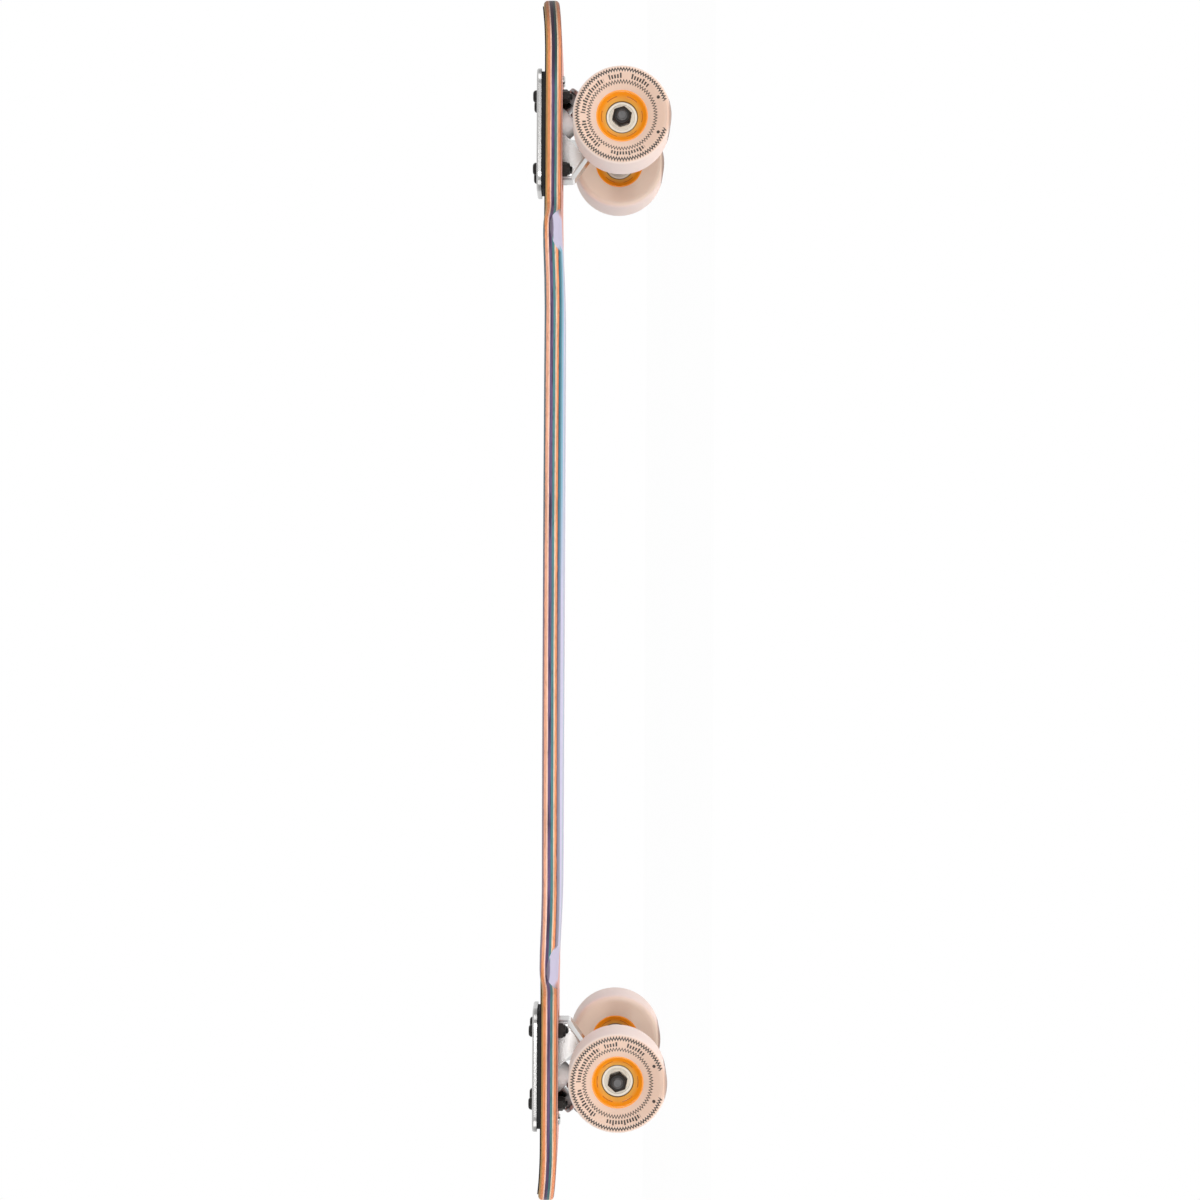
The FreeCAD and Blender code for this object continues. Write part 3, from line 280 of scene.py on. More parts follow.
class Graph:
    """Short ways to add nodes to a node tree."""

    def __init__(self, tree):
        self.tree = tree

    def add(self, kind, sockets=(), **settings):
        """A node with its settings, and its input sockets given by index or name."""
        made = self.tree.nodes.new(kind)
        for key, value in settings.items():
            setattr(made, key, value)
        for key, value in dict(sockets).items():
            self.feed(made.inputs[key], value)
        return made

    def feed(self, socket, value):
        """Link a socket, or set its value."""
        if isinstance(value, bpy.types.NodeSocket):
            self.tree.links.new(value, socket)
        else:
            socket.default_value = value

    def math(self, operation, first, second=0.0, third=0.0, clamp=False):
        made = self.add("ShaderNodeMath", {0: first, 1: second, 2: third}, operation=operation,
                        use_clamp=clamp)
        return made.outputs[0]

    def times(self, first, second):
        return self.math("MULTIPLY", first, second)

    def plus(self, first, second):
        return self.math("ADD", first, second)

    def less(self, first, second):
        return self.math("SUBTRACT", first, second)

    def fit(self, value, gain, offset, clamp=False):
        """A value times a gain, plus an offset."""
        return self.math("MULTIPLY_ADD", value, gain, offset, clamp)

    def size(self, value):
        return self.math("ABSOLUTE", value)

    def square(self, value):
        return self.times(value, value)

    def distance(self, first, second):
        """Length of a flat vector with two parts."""
        return self.math("SQRT", self.plus(self.square(first), self.square(second)))

    def most(self, *values):
        """Largest of several values."""
        result = values[0]
        for value in values[1:]:
            result = self.math("MAXIMUM", result, value)
        return result

    def seen(self):
        """1 where the camera, gloss or glass looks, 0 for the light that falls on things."""
        path = self.add("ShaderNodeLightPath").outputs
        return self.most(path["Is Camera Ray"], path["Is Glossy Ray"], path["Is Transmission Ray"])


class Finish(Graph):
    """One procedural material: a Principled shader with nodes in front of it."""

    def __init__(self, name, **sockets):
        self.material = bpy.data.materials.new(name)
        self.material.use_nodes = True
        super().__init__(self.material.node_tree)
        self.shader = self.tree.nodes["Principled BSDF"]
        self.place = self.add("ShaderNodeTexCoord").outputs["Object"]
        self.set(**sockets)

    def set(self, **sockets):
        """Shader sockets by name, with _ for a space."""
        for key, value in sockets.items():
            self.feed(self.shader.inputs[key.replace("_", " ")], value)

    def step(self, value, low, high):
        """0 below low, 1 above high, smooth between; low may be the larger one."""
        made = self.add("ShaderNodeMapRange", {"Value": value, "From Min": low, "From Max": high},
                        interpolation_type="SMOOTHSTEP")
        return made.outputs["Result"]

    def edge(self, value, place, soft):
        """0 below a place and 1 above it, smooth within soft on both sides; a negative soft swaps them."""
        return self.step(value, place - soft, place + soft)

    def mix(self, amount, first, second, blend="MIX"):
        made = self.add("ShaderNodeMix", {0: amount, 6: first, 7: second}, data_type="RGBA", blend_type=blend)
        return made.outputs[2]

    def shaded(self, colour, shade):
        """A colour times a grey value."""
        grey = self.add("ShaderNodeCombineXYZ", {0: shade, 1: shade, 2: shade}).outputs[0]
        return self.mix(1.0, colour, grey, "MULTIPLY")

    def ramp(self, value, stops):
        """Colour ramp with stops of (place, colour)."""
        made = self.add("ShaderNodeValToRGB", {0: value})
        elements = made.color_ramp.elements
        while len(elements) < len(stops):
            elements.new(1.0)
        for element, (place, colour) in zip(elements, stops):
            element.position = place
            element.color = colour
        return made.outputs[0]

    def split(self, vector):
        return self.add("ShaderNodeSeparateXYZ", {0: vector}).outputs

    def normal(self):
        return self.split(self.add("ShaderNodeNewGeometry").outputs["Normal"])

    def openness(self, reach):
        """1 on open surfaces, falling towards 0 where a neighbour lies within reach."""
        return self.add("ShaderNodeAmbientOcclusion", {"Distance": reach}, samples=8).outputs["AO"]

    def stretched(self, scale, centre=(0, 0, 0)):
        """Object coordinates about a centre, scaled along each axis."""
        moved = self.add("ShaderNodeVectorMath", {0: self.place, 1: centre}, operation="SUBTRACT")
        scaled = self.add("ShaderNodeVectorMath", {0: moved.outputs[0], 1: scale}, operation="MULTIPLY")
        return scaled.outputs[0]

    def noise(self, scale, detail=3.0, roughness=0.5, vector=None):
        """Noise from 0 to 1 at a scale per metre."""
        sockets = {"Vector": vector or self.place, "Scale": scale, "Detail": detail, "Roughness": roughness}
        return self.add("ShaderNodeTexNoise", sockets).outputs[0]

    def streaks(self, scales, detail, roughness):
        """Noise from 0 to 1 at a scale per metre along each axis."""
        return self.noise(1.0, detail, roughness, self.stretched(scales))

    def cells(self, scale):
        """Distance to the nearest of scattered points."""
        return self.add("ShaderNodeTexVoronoi", {"Vector": self.place, "Scale": scale}).outputs["Distance"]

    def bump(self, height, depth, strength=0.5):
        """Bump of a height map from 0 to 1, depth metres deep."""
        made = self.add("ShaderNodeBump", {"Strength": strength, "Distance": depth, "Height": height})
        self.set(Normal=made.outputs[0])

    def polar(self, centre):
        """Radius and angle about a wheel axis through a centre."""
        x, _, z = self.split(self.stretched((1, 1, 1), centre))
        return self.distance(x, z), self.math("ARCTAN2", z, x)


def dress(nodes, finish):
    """Give CAD nodes one finish."""
    for name in nodes:
        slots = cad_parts[name].data.materials
        slots.clear()
        slots.append(finish.material)


def at_both_ends(*names):
    return [f"{end}_{name}" for end in ENDS for name in names]


def grid_object(name, rows, body, finish):
    """Closed piece from a grid of points: rows run along it, columns go round it, and a fan closes each end.

    rows has shape (n, m, 3). Faces join row i to row i+1 and column j to column j+1, wrapping round;
    the fans join the first and last rows to their mean points.
    """
    count, around, _ = rows.shape
    points = np.vstack([rows.reshape(-1, 3), rows[0].mean(0), rows[-1].mean(0)])
    i, j = np.meshgrid(np.arange(count - 1), np.arange(around), indexing="ij")
    nxt = (j + 1) % around
    quads = np.stack([i * around + j, i * around + nxt, (i + 1) * around + nxt, (i + 1) * around + j], -1)
    ring_index = np.arange(around)
    turned = (ring_index + 1) % around
    base = (count - 1) * around
    first = np.stack([turned, ring_index, np.full(around, count * around)], -1)
    last = np.stack([base + ring_index, base + turned, np.full(around, count * around + 1)], -1)
    mesh = bpy.data.meshes.new(name)
    mesh.from_pydata(points.tolist(), [], quads.reshape(-1, 4).tolist() + first.tolist() + last.tolist())
    mesh.polygons.foreach_set("use_smooth", np.ones(len(mesh.polygons), dtype=bool))
    mesh.materials.append(finish.material)
    mesh.update()
    made = bpy.data.objects.new(name, mesh)
    bpy.context.scene.collection.objects.link(made)
    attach(made, body)


def past(finish, value, start):
    """How far a value goes past a start, 0 before it."""
    return finish.math("MAXIMUM", finish.less(value, start), 0.0)


def deck_height(finish, look, far, wide, z):
    """Height in the deck above its underside: z less the platform's height, the bend, the nose and the rails.

    The bend is a smooth step; nose and rails rise as the square of the distance past their start
    over twice their radius.
    """
    bend = finish.times(finish.step(far, look.step_start, look.step_end), look.drop)
    nose = finish.times(finish.square(past(finish, far, look.kick_start)), 0.5 / look.kick_radius)
    rail = finish.times(finish.square(past(finish, wide, look.flat_half)), 0.5 / look.concave_radius)
    base = finish.plus(finish.plus(bend, nose), finish.plus(rail, look.floor_z))
    return finish.less(z, base)


def band_stops(bands, soft):
    """Ramp stops for flat bands of (upper edge, colour) that blend within soft of each edge."""
    stops = []
    level = 0.0
    for top, colour in bands:
        stops += [(level + soft, colour), (top - soft, colour)]
        level = top
    return stops


def ply_colour(finish, look, height, stain):
    """Colour of the ply stack at a height, with soft glue lines; stain shades the dark plies."""
    plies = [(look.bottom_thick, look.bottom_ply, 1.0), (look.core_thick, look.low_core, 1.0),
             (look.teal_thick, look.teal_ply, stain), (look.purple_thick, look.purple_ply, stain),
             (look.core_thick, look.high_core, 1.0), (look.orange_thick, look.orange_ply, 1.0),
             (look.top_thick, look.top_ply, 1.0)]
    tops = np.cumsum([thick for thick, _, _ in plies])
    total = tops[-1]
    bands = [(top / total, linear(colour, shade)) for top, (_, colour, shade) in zip(tops, plies)]
    wander = finish.less(finish.noise(14.0), 0.5)
    level = finish.fit(wander, 0.04, finish.times(height, 1 / total))
    return finish.ramp(level, band_stops(bands, 0.12 * look.core_thick / total))


def worn_plies(finish, look, x, far, height, grain, pores):
    """Ply stack with darker tips, paler upper plies along the sides, streaks, grain, pores and dirt."""
    tip_start = look.kick_start - look.fade
    tail = finish.times(finish.step(far, tip_start, NOSE), 0.6)
    tips = finish.most(tail, finish.step(x, tip_start, look.kick_start))
    plies = finish.mix(tips, ply_colour(finish, look, height, 1.0), ply_colour(finish, look, height, 0.3))
    sides = finish.step(far, look.shoulder, look.shoulder - look.fade)
    faded = finish.times(sides, finish.edge(height, look.faded_height, 0.0003))
    plies = finish.mix(finish.times(faded, 0.45), plies, linear(look.faded))
    low = look.bottom_thick + look.core_thick + look.teal_thick
    streak = finish.step(finish.streaks((24, 24, 700), 3.0, 0.6), 0.50, 0.60)
    streak = finish.times(streak, ring(finish, height, low, low + look.purple_thick, 0.0003))
    plies = finish.shaded(plies, finish.fit(streak, -0.6, 1.0))
    plies = finish.shaded(plies, finish.fit(grain, 1.5, 0.22))
    plies = finish.mix(finish.times(finish.step(pores, 0.55, 0.70), 0.55), plies, linear(look.grime_and_edge_shade))
    dirt = finish.times(finish.step(finish.plus(far, x), 2 * look.kick_start, 2 * NOSE), 0.75)
    return finish.mix(finish.times(dirt, finish.fit(pores, 0.8, 0.5)), plies, linear(look.grime_and_edge_shade))


def paint_colour(finish, look, x, y, far, wide, upward):
    """Pastel paint on the broad faces.

    A border follows the rails at a set inset, teal to the nose and mauve to the tail. Inside it runs a field,
    and in the middle flat bands follow y plus a sine of x. Past the shoulders the underside is pink, and the
    top is bare wood.
    """
    drift = finish.times(finish.less(finish.noise(7.0, 2.0), 0.5), 0.05)
    along = finish.fit(finish.plus(x, drift), 1 / (2 * look.shoulder), 0.5)
    border_stops = [(0.40, look.mauve), (0.52, look.slate), (0.66, look.teal)]
    border = finish.ramp(along, [(place, linear(colour)) for place, colour in border_stops])
    field = finish.ramp(along, [(0.50, linear(look.lilac)), (0.66, linear(look.sky))])
    swing = finish.times(finish.math("SINE", finish.times(x, FULL_TURN / look.wave_pitch)), look.wave)
    flow = finish.plus(finish.plus(y, swing), finish.times(drift, 0.3))
    bands = [(0.195, look.lilac), (0.235, look.pearl), (0.405, look.mist), (0.435, look.pearl),
             (0.585, look.sky), (0.615, look.pearl), (0.775, look.mist), (0.825, look.pink),
             (1.0, look.lilac)]
    stops = band_stops([(top, linear(colour)) for top, colour in bands], 0.005)
    middle = finish.ramp(finish.fit(flow, 0.5 / look.flat_half, 0.5), stops)
    tapered = finish.times(finish.square(far), look.taper / look.shoulder ** 2)
    inset = finish.less(finish.less(look.half_width, tapered), wide)
    inset = finish.fit(drift, 0.12, inset)
    colour = finish.mix(finish.edge(inset, look.field, 0.002), field, middle)
    colour = finish.mix(finish.edge(inset, look.border, 0.0006), border, colour)
    top_side = finish.step(upward, 0.0, 0.2)
    colour = finish.mix(finish.times(top_side, 0.15), colour, linear(look.pink))
    bare = finish.mix(top_side, linear(look.pink), linear(look.top_ply))
    end = finish.fit(finish.math("COSINE", finish.times(y, math.pi / look.flat_half)), look.end_wave, far)
    return finish.mix(finish.edge(end, look.shoulder, 0.002), colour, bare)


def deck_finish(look):
    """Pressed maple: stained plies on the rails and in the slots, pastel paint on both broad faces, and
    painted shade in a dark band along the rounded rail edges.
    """
    finish = Finish("pressed_maple", Specular_IOR_Level=0.12)
    x, y, z = finish.split(finish.place)
    far = finish.size(x)
    wide = finish.size(y)
    height = deck_height(finish, look, far, wide, z)
    grain = finish.streaks((28, 240, 2600), 6.0, 0.62)
    pores = finish.streaks((160, 900, 5200), 2.0, 0.5)
    plies = worn_plies(finish, look, x, far, height, grain, pores)

    tilt = finish.normal()[2]
    rounded = finish.fit(finish.edge(far, look.shoulder, 0.01), -0.26, finish.size(tilt))
    chipped = finish.fit(finish.noise(700.0, 2.0), 0.12, rounded)
    fall = past(finish, look.well_peak, far)
    limit = finish.most(finish.fit(fall, -look.well_slope, look.well_rise), look.well_least)
    over = finish.edge(finish.less(height, limit), 0.0, 0.0002)
    over = finish.times(over, finish.step(tilt, 0.0, -0.1))
    painted = finish.times(finish.step(chipped, 0.64, 0.73), finish.less(1.0, over))
    paint = paint_colour(finish, look, x, y, far, wide, tilt)
    scooped = finish.times(finish.edge(height, look.scoop_height, 0.0007), finish.step(tilt, -0.4, -0.6))
    paint = finish.mix(scooped, paint, linear(look.lilac))
    veil = finish.step(finish.streaks((10, 160, 10), 5.0, 0.6), 0.42, 0.75)
    paint = finish.mix(finish.times(veil, 0.12), paint, linear(look.mauve))
    colour = finish.mix(painted, plies, paint)
    # Painted shade: a dark band on the rounded rail edge just past the paint, strongest where the surface
    # faces down.
    wear_and_painted_shade = finish.times(finish.step(rounded, 0.44, 0.62), finish.step(rounded, 0.72, 0.64))
    wear_and_painted_shade = finish.times(wear_and_painted_shade, finish.fit(finish.edge(tilt, 0.0, -0.1), 0.65, 0.2))
    colour = finish.mix(wear_and_painted_shade, colour, linear(look.grime_and_edge_shade))
    finish.set(Base_Color=colour, Roughness=finish.fit(grain, 0.22, 0.40))
    finish.bump(finish.fit(pores, 0.5, grain), depth=0.00018)
    return finish


def grip_finish(look):
    """Grip tape: black grit with scattered bright grains."""
    finish = Finish("grip_grit", Specular_IOR_Level=0.35)
    dust = finish.step(finish.noise(9.0, 4.0), 0.35, 0.75)
    colour = finish.mix(dust, linear(look.grip), linear(look.grip, 1.9))
    fleck = finish.step(finish.cells(1150.0), 0.16, 0.10)
    colour = finish.mix(finish.times(fleck, 0.7), colour, linear(look.grip_fleck))
    finish.set(Base_Color=colour, Roughness=finish.fit(fleck, -0.35, 0.95))
    finish.bump(finish.less(1.0, finish.cells(1900.0)), depth=0.0005, strength=0.9)
    return finish


def alloy_finish(look, name, alloy):
    """Polished cast alloy: bright, with painted shade darkening creases and places where parts meet, faint
    polishing lines and a few shallow pits.
    """
    finish = Finish(name, Metallic=1.0)
    lines = finish.streaks((90, 500, 900), 4.0, 0.6)
    haze = finish.noise(60.0)
    pits = finish.step(finish.noise(420.0, 2.0), 0.68, 0.76)
    colour = finish.mix(finish.times(haze, 0.5), linear(alloy), linear(alloy, 0.7))
    colour = finish.mix(finish.times(pits, 0.4), colour, linear(alloy, 0.3))
    # Painted shade: the colour darkens towards the crease colour where ambient occlusion finds a neighbour
    # close by.
    free_of_painted_shade = finish.step(finish.openness(look.crease_shade_reach), 0.15, 0.95)
    colour = finish.mix(free_of_painted_shade, linear(look.alloy_painted_crease_shade), colour)
    finish.set(Base_Color=colour, Roughness=finish.fit(pits, 0.2, finish.fit(lines, 0.10, 0.17)))
    finish.bump(finish.less(finish.times(lines, 0.4), pits), depth=0.00006)
    return finish


def steel_finish(name, colour, roughness):
    """Turned steel: fine tool marks and slight stains."""
    finish = Finish(name, Metallic=1.0)
    marks = finish.noise(1200.0, 3.0, 0.6)
    stain = finish.step(finish.noise(240.0, 4.0), 0.45, 0.75)
    base = finish.mix(stain, linear(colour), linear(colour, 0.7))
    finish.set(Base_Color=base, Roughness=finish.fit(marks, 0.16, roughness))
    finish.bump(marks, depth=0.00003)
    return finish


def black_steel_finish(look):
    """Blackened steel: dark oxide with rubbed grey spots and a fine tooth."""
    finish = Finish("black_oxide", Metallic=0.75)
    wear_and_painted_shade = finish.step(finish.noise(520.0, 5.0, 0.65), 0.60, 0.74)
    colour = finish.mix(finish.times(wear_and_painted_shade, 0.5), linear(look.black_steel), linear(look.axle, 0.6))
    finish.set(Base_Color=colour, Roughness=finish.fit(finish.noise(900.0), 0.25, 0.30))
    finish.bump(finish.noise(2600.0, 2.0), depth=0.00004)
    return finish


def rubber_finish(look):
    """Riser rubber: matt black with a fine moulded grain."""
    finish = Finish("riser_rubber", Roughness=0.7)
    dust = finish.step(finish.noise(70.0, 4.0), 0.4, 0.8)
    finish.set(Base_Color=finish.mix(dust, linear(look.rubber), linear(look.rubber, 1.8)))
    finish.bump(finish.noise(1500.0), depth=0.0001, strength=0.6)
    return finish


def bushing_finish(name, colour, glow):
    """Cast urethane bushing: slightly cloudy, softly lit through."""
    finish = Finish(name, Subsurface_Weight=glow, Subsurface_Radius=(0.008, 0.0078, 0.0076),
                    Subsurface_Scale=1.0)
    cloud = finish.noise(130.0, 4.0)
    base = finish.mix(finish.step(cloud, 0.4, 0.8), linear(colour), linear(colour, 0.9))
    finish.set(Base_Color=base, Roughness=finish.fit(cloud, 0.2, 0.33))
    finish.bump(finish.noise(500.0), depth=0.00005)
    return finish


def zigzag(finish, radius, turn, place, teeth, boldness):
    """Mask of a zigzag in a ring, given by its inner and outer radius: 1 near a triangle wave of the angle.

    The line takes up a share of the ring's width, its boldness, and the wave swings over the rest.
    """
    low, high = place
    swing = (1 - boldness) * (high - low)
    half_line = (high - low - swing) / 2
    wave = finish.math("PINGPONG", finish.times(turn, teeth / math.pi), 1.0)
    line = finish.fit(wave, swing, low + half_line)
    off = finish.size(finish.less(radius, line))
    return finish.edge(off, half_line, -0.15 * half_line)


def ring(finish, radius, low, high, soft=0.0001):
    """Mask of a plain ring between two radii."""
    return finish.times(finish.edge(radius, low, soft), finish.edge(radius, high, -soft))


def turn_from(finish, turn, middle):
    """Signed angle from a middle angle, from minus half a turn to half a turn."""
    return finish.math("WRAP", finish.less(turn, middle), math.pi, -math.pi)


def near_angle(finish, turn, middle, half):
    """Mask of an arc of angles about a middle angle, in radians."""
    return finish.edge(finish.size(turn_from(finish, turn, middle)), half, -0.008)


def beat(finish, turn, count):
    """Distance from the middle of the nearest of count equal parts of a turn, from 0 to 0.5."""
    part = finish.math("FRACT", finish.times(turn, count / FULL_TURN))
    return finish.size(finish.less(part, 0.5))


def tick_scale(finish, look, radius, turn):
    """Mask of a plain scale of ticks in five groups, with every fourth tick longer."""
    low, high = look.tick_ring
    tall = high - low
    number = finish.math("FLOOR", finish.times(turn, look.ticks / FULL_TURN))
    fourth = finish.math("COMPARE", finish.math("FLOORED_MODULO", number, TICKS_TO_LONG), 0.0, 0.5)
    top = finish.fit(fourth, 0.25 * tall, low + 0.75 * tall)
    bars = finish.edge(beat(finish, turn, look.ticks), 0.29, -0.02)
    bars = finish.times(bars, finish.step(radius, low - 0.0001, low))
    bars = finish.times(bars, finish.step(finish.less(radius, top), 0.0001, 0.0))
    groups = [near_angle(finish, turn, middle, half) for middle, half in TICK_GROUPS]
    return finish.times(bars, finish.most(*groups))


def print_mask(finish, look, radius, turn):
    """Print on a wheel face: two zigzag rings, a scale of ticks between them and two dots.

    The outer ring stops short of an empty place towards the ground.
    """
    ground = -math.pi / 2
    kept = finish.less(1.0, near_angle(finish, turn, ground, look.outer_gap))
    outer = zigzag(finish, radius, turn, look.outer_ring, look.outer_teeth, look.outer_bold)
    inner = zigzag(finish, radius, turn, look.inner_ring, look.inner_teeth, look.inner_bold)
    marks = [finish.times(outer, kept), inner, tick_scale(finish, look, radius, turn)]
    for side in SIDES.values():
        across = finish.times(turn_from(finish, turn, ground + side * look.dot_angle), look.dot_radius)
        gap = finish.distance(across, finish.less(radius, look.dot_radius))
        marks.append(finish.step(gap, look.dot_size, look.dot_size * 0.8))
    return finish.most(*marks)


def tyre_finish(look, wheel, centre):
    """Cast urethane: soft pale pink, printed outer face, an inner face lightened by painted light, ground
    tread with fine rings.
    """
    finish = Finish(f"{wheel}_urethane", Subsurface_Weight=0.2, Subsurface_Radius=(0.005, 0.0047, 0.0044),
                    Subsurface_Scale=0.6)
    radius, turn = finish.polar(centre)
    outward = finish.times(finish.normal()[1], math.copysign(1, centre.y))
    cloud = finish.noise(38.0, 4.0)
    # Painted light: the inner face takes a lighter colour than the outer face, standing in for light it lacks
    # in shade.
    plain = finish.mix(finish.edge(outward, 0.0, 0.1), linear(look.inside), linear(look.tyre))
    face = finish.shaded(plain, finish.fit(finish.step(cloud, 0.35, 0.75), -0.05, 1.0))
    rolled = finish.edge(radius, look.tread_start, 0.0007)
    grind = finish.streaks((60, 5200, 60), 2.0, 0.5)
    tread = finish.mix(finish.times(grind, 0.4), linear(look.tread), linear(look.tread, 0.92))
    ink = finish.times(print_mask(finish, look, radius, turn), finish.step(outward, 0.60, 0.75))
    ink = finish.times(ink, finish.fit(finish.noise(900.0), -0.4, 1.15, clamp=True))
    colour = finish.mix(ink, finish.mix(rolled, face, tread), linear(look.ink))
    smooth = finish.fit(cloud, 0.12, 0.38)
    finish.set(Base_Color=colour, Roughness=finish.fit(rolled, 0.18, smooth))
    finish.bump(finish.fit(finish.times(grind, rolled), 4.0, cloud), depth=0.00002)
    return finish


def core_finish(look, wheel, centre):
    """Glossy moulded core: orange, lighter towards the bearing as a painted highlight, with moulded rings and
    short dashes.
    """
    finish = Finish(f"{wheel}_core_resin", Subsurface_Weight=0.15, Subsurface_Radius=(0.006, 0.003, 0.001),
                    Subsurface_Scale=0.5, Coat_Weight=0.3, Coat_Roughness=0.08)
    radius, turn = finish.polar(centre)
    # Painted highlight: lighter towards the bearing, fading out across the ring.
    colour = finish.mix(finish.step(radius, *look.painted_highlight_ring), linear(look.core_painted_highlight), linear(look.core))
    cloud = finish.noise(90.0)
    colour = finish.mix(finish.times(cloud, 0.25), colour, linear(look.core, 0.85))
    dash = finish.edge(beat(finish, turn, look.dashes), 0.27, -0.01)
    dashes = finish.times(ring(finish, radius, *look.dash_ring), dash)
    rim = ring(finish, radius, *look.rim_ring)
    # Painted shadow: a dark line in the core at its seam with the bearing.
    seam = finish.edge(radius, look.core_seam, -0.0002)
    # Painted shade in the recessed moulded dashes.
    colour = finish.mix(finish.times(dashes, 0.75), colour, linear(look.core_shade))
    colour = finish.mix(finish.times(seam, 0.85), colour, linear(look.seam))
    finish.set(Base_Color=colour, Roughness=finish.fit(cloud, 0.14, 0.16))
    finish.bump(finish.less(1.0, finish.most(dashes, rim)), depth=0.00025, strength=0.7)
    return finish


def bearing_finish(look, wheel, centre):
    """Bearing faces: cream enamel with fine pressed rings darkened by painted shade, and a painted shadow
    line at the edge.
    """
    finish = Finish(f"{wheel}_bearing_enamel", Roughness=0.36)
    radius, _ = finish.polar(centre)
    pressed = [ring(finish, radius, low, high, 0.00008) for low, high in (look.outer_press, look.inner_press)]
    rings = finish.most(*pressed)
    speck = finish.step(finish.noise(700.0, 4.0), 0.5, 0.8)
    colour = finish.mix(speck, linear(look.shield), linear(look.shield, 0.88))
    # Painted shadow at the bearing's outer edge and painted shade in the pressed rings.
    edge = finish.edge(radius, look.seam_start, 0.00015)
    dark = finish.times(finish.most(finish.times(rings, 0.45), edge), 0.85)
    finish.set(Base_Color=finish.mix(dark, colour, linear(look.seam)))
    finish.bump(finish.less(1.0, rings), depth=0.00015, strength=0.8)
    return finish


def thread_rows(end, axis, radius, look, span):
    """Threaded tip as a grid, height along the axis by angle round it, that ends at a point on its axis.

    The radius is the crest less the depth times a triangle wave of (height / pitch - angle / full turn);
    the first and last rows sink to the root so that the ends close cleanly.
    """
    axis = np.asarray(axis, dtype=float)
    side = np.cross(axis, (0.0, 1.0, 0.0) if abs(axis[1]) < 0.9 else (1.0, 0.0, 0.0))
    side /= np.linalg.norm(side)
    other = np.cross(axis, side)
    heights = np.linspace(-span, 0.0, THREAD_ROWS)
    angles = np.linspace(0.0, FULL_TURN, THREAD_SIDES, endpoint=False)
    high, turn = np.meshgrid(heights, angles, indexing="ij")
    phase = (high / look.thread_pitch - turn / FULL_TURN) % 1.0
    size = radius - look.thread_depth * np.abs(2 * phase - 1)
    size[[0, -1]] = radius - look.thread_depth
    around = np.cos(turn)[..., None] * side + np.sin(turn)[..., None] * other
    return np.asarray(end) + high[..., None] * axis + size[..., None] * around


class LONGBOARD_OT_deck(bpy.types.Operator):
    """Stain the plies, paint the faces and grit the grip tape"""
    bl_idname = "longboard.deck"
    bl_label = "Deck and grip"

    def execute(self, context):
        look = context.scene.longboard_deck
        dress(["deck"], deck_finish(look))
        dress(["grip_tape"], grip_finish(look))
        return {"FINISHED"}


class LONGBOARD_OT_trucks(bpy.types.Operator):
    """Polish the castings and finish bushings, cups and risers"""
    bl_idname = "longboard.trucks"
    bl_label = "Trucks"

    def execute(self, context):
        look = context.scene.longboard_trucks
        dress(at_both_ends("baseplate"), alloy_finish(look, "baseplate_alloy", look.baseplate))
        dress(at_both_ends("hanger"), alloy_finish(look, "hanger_alloy", look.hanger))
        dress(at_both_ends("riser"), rubber_finish(look))
        barrel = bushing_finish("boardside_urethane", look.boardside, glow=0.8)
        cone = bushing_finish("roadside_urethane", look.roadside, glow=0.05)
        cup = bushing_finish("pivot_nylon", look.pivot, glow=0.0)
        dress(at_both_ends("boardside_bushing"), barrel)
        dress(at_both_ends("roadside_bushing"), cone)
        dress(at_both_ends("pivot_cup"), cup)
        return {"FINISHED"}


class LONGBOARD_OT_hardware(bpy.types.Operator):
    """Blacken bolts and nuts, brighten axles and washers, and cut the threads of the tips"""
    bl_idname = "longboard.hardware"
    bl_label = "Hardware"

    def execute(self, context):
        look = context.scene.longboard_trucks
        black = black_steel_finish(look)
        steel = steel_finish("turned_steel", look.steel, roughness=0.22)
        axle = steel_finish("axle_steel", look.axle, roughness=0.42)
        dress(at_both_ends("mounting_bolts", "mounting_nuts", "kingpin_nut", "axle_nuts"), black)
        dress(at_both_ends("cup_washer", "speed_washers", "bearing_inner_rings", "bearing_spacers"), steel)
        dress(at_both_ends("axle", "kingpin"), axle)
        for end, forward in ENDS.items():
            self.axle_threads(look, end, axle)
            self.kingpin_thread(look, end, forward, axle)
            self.bolt_threads(look, end, black)
        return {"FINISHED"}

    def axle_threads(self, look, end, finish):
        """Threads of both axle tips, past the nuts."""
        low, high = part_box(f"{end}_axle")
        centre = centre_of(f"{end}_axle")
        radius = (high[2] - low[2]) / 2
        span = look.stub - look.tip_bevel
        for side, sign in SIDES.items():
            tip = (centre.x, centre.y + sign * ((high[1] - low[1]) / 2 - look.tip_bevel), centre.z)
            rows = thread_rows(tip, (0, sign, 0), radius, look, span)
            grid_object(f"{end}_{side}_axle_thread", rows, f"{end}_hanger", finish)

    def kingpin_thread(self, look, end, forward, finish):
        """Thread of the kingpin tip, which points down and outboard at 45 degrees."""
        axis = Vector((forward, 0, -1)).normalized()
        tip = centre_of(f"{end}_boardside_bushing") + axis * (look.kingpin_reach - look.tip_bevel)
        span = look.kingpin_stub - look.tip_bevel
        rows = thread_rows(tip, axis, look.kingpin_radius, look, span)
        grid_object(f"{end}_kingpin_thread", rows, "board", finish)

    def bolt_threads(self, look, end, finish):
        """Threads of the four mounting bolt tips under the deck."""
        low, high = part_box(f"{end}_mounting_bolts")
        span = look.bolt_stub - look.tip_bevel
        spots = [(x, y) for x in (low[0] + look.bolt_head, high[0] - look.bolt_head)
                 for y in (low[1] + look.bolt_head, high[1] - look.bolt_head)]
        for number, (x, y) in enumerate(spots, 1):
            rows = thread_rows((x, y, low[2] + look.tip_bevel), (0, 0, -1), look.bolt_radius, look, span)
            grid_object(f"{end}_bolt_thread_{number}", rows, "board", finish)


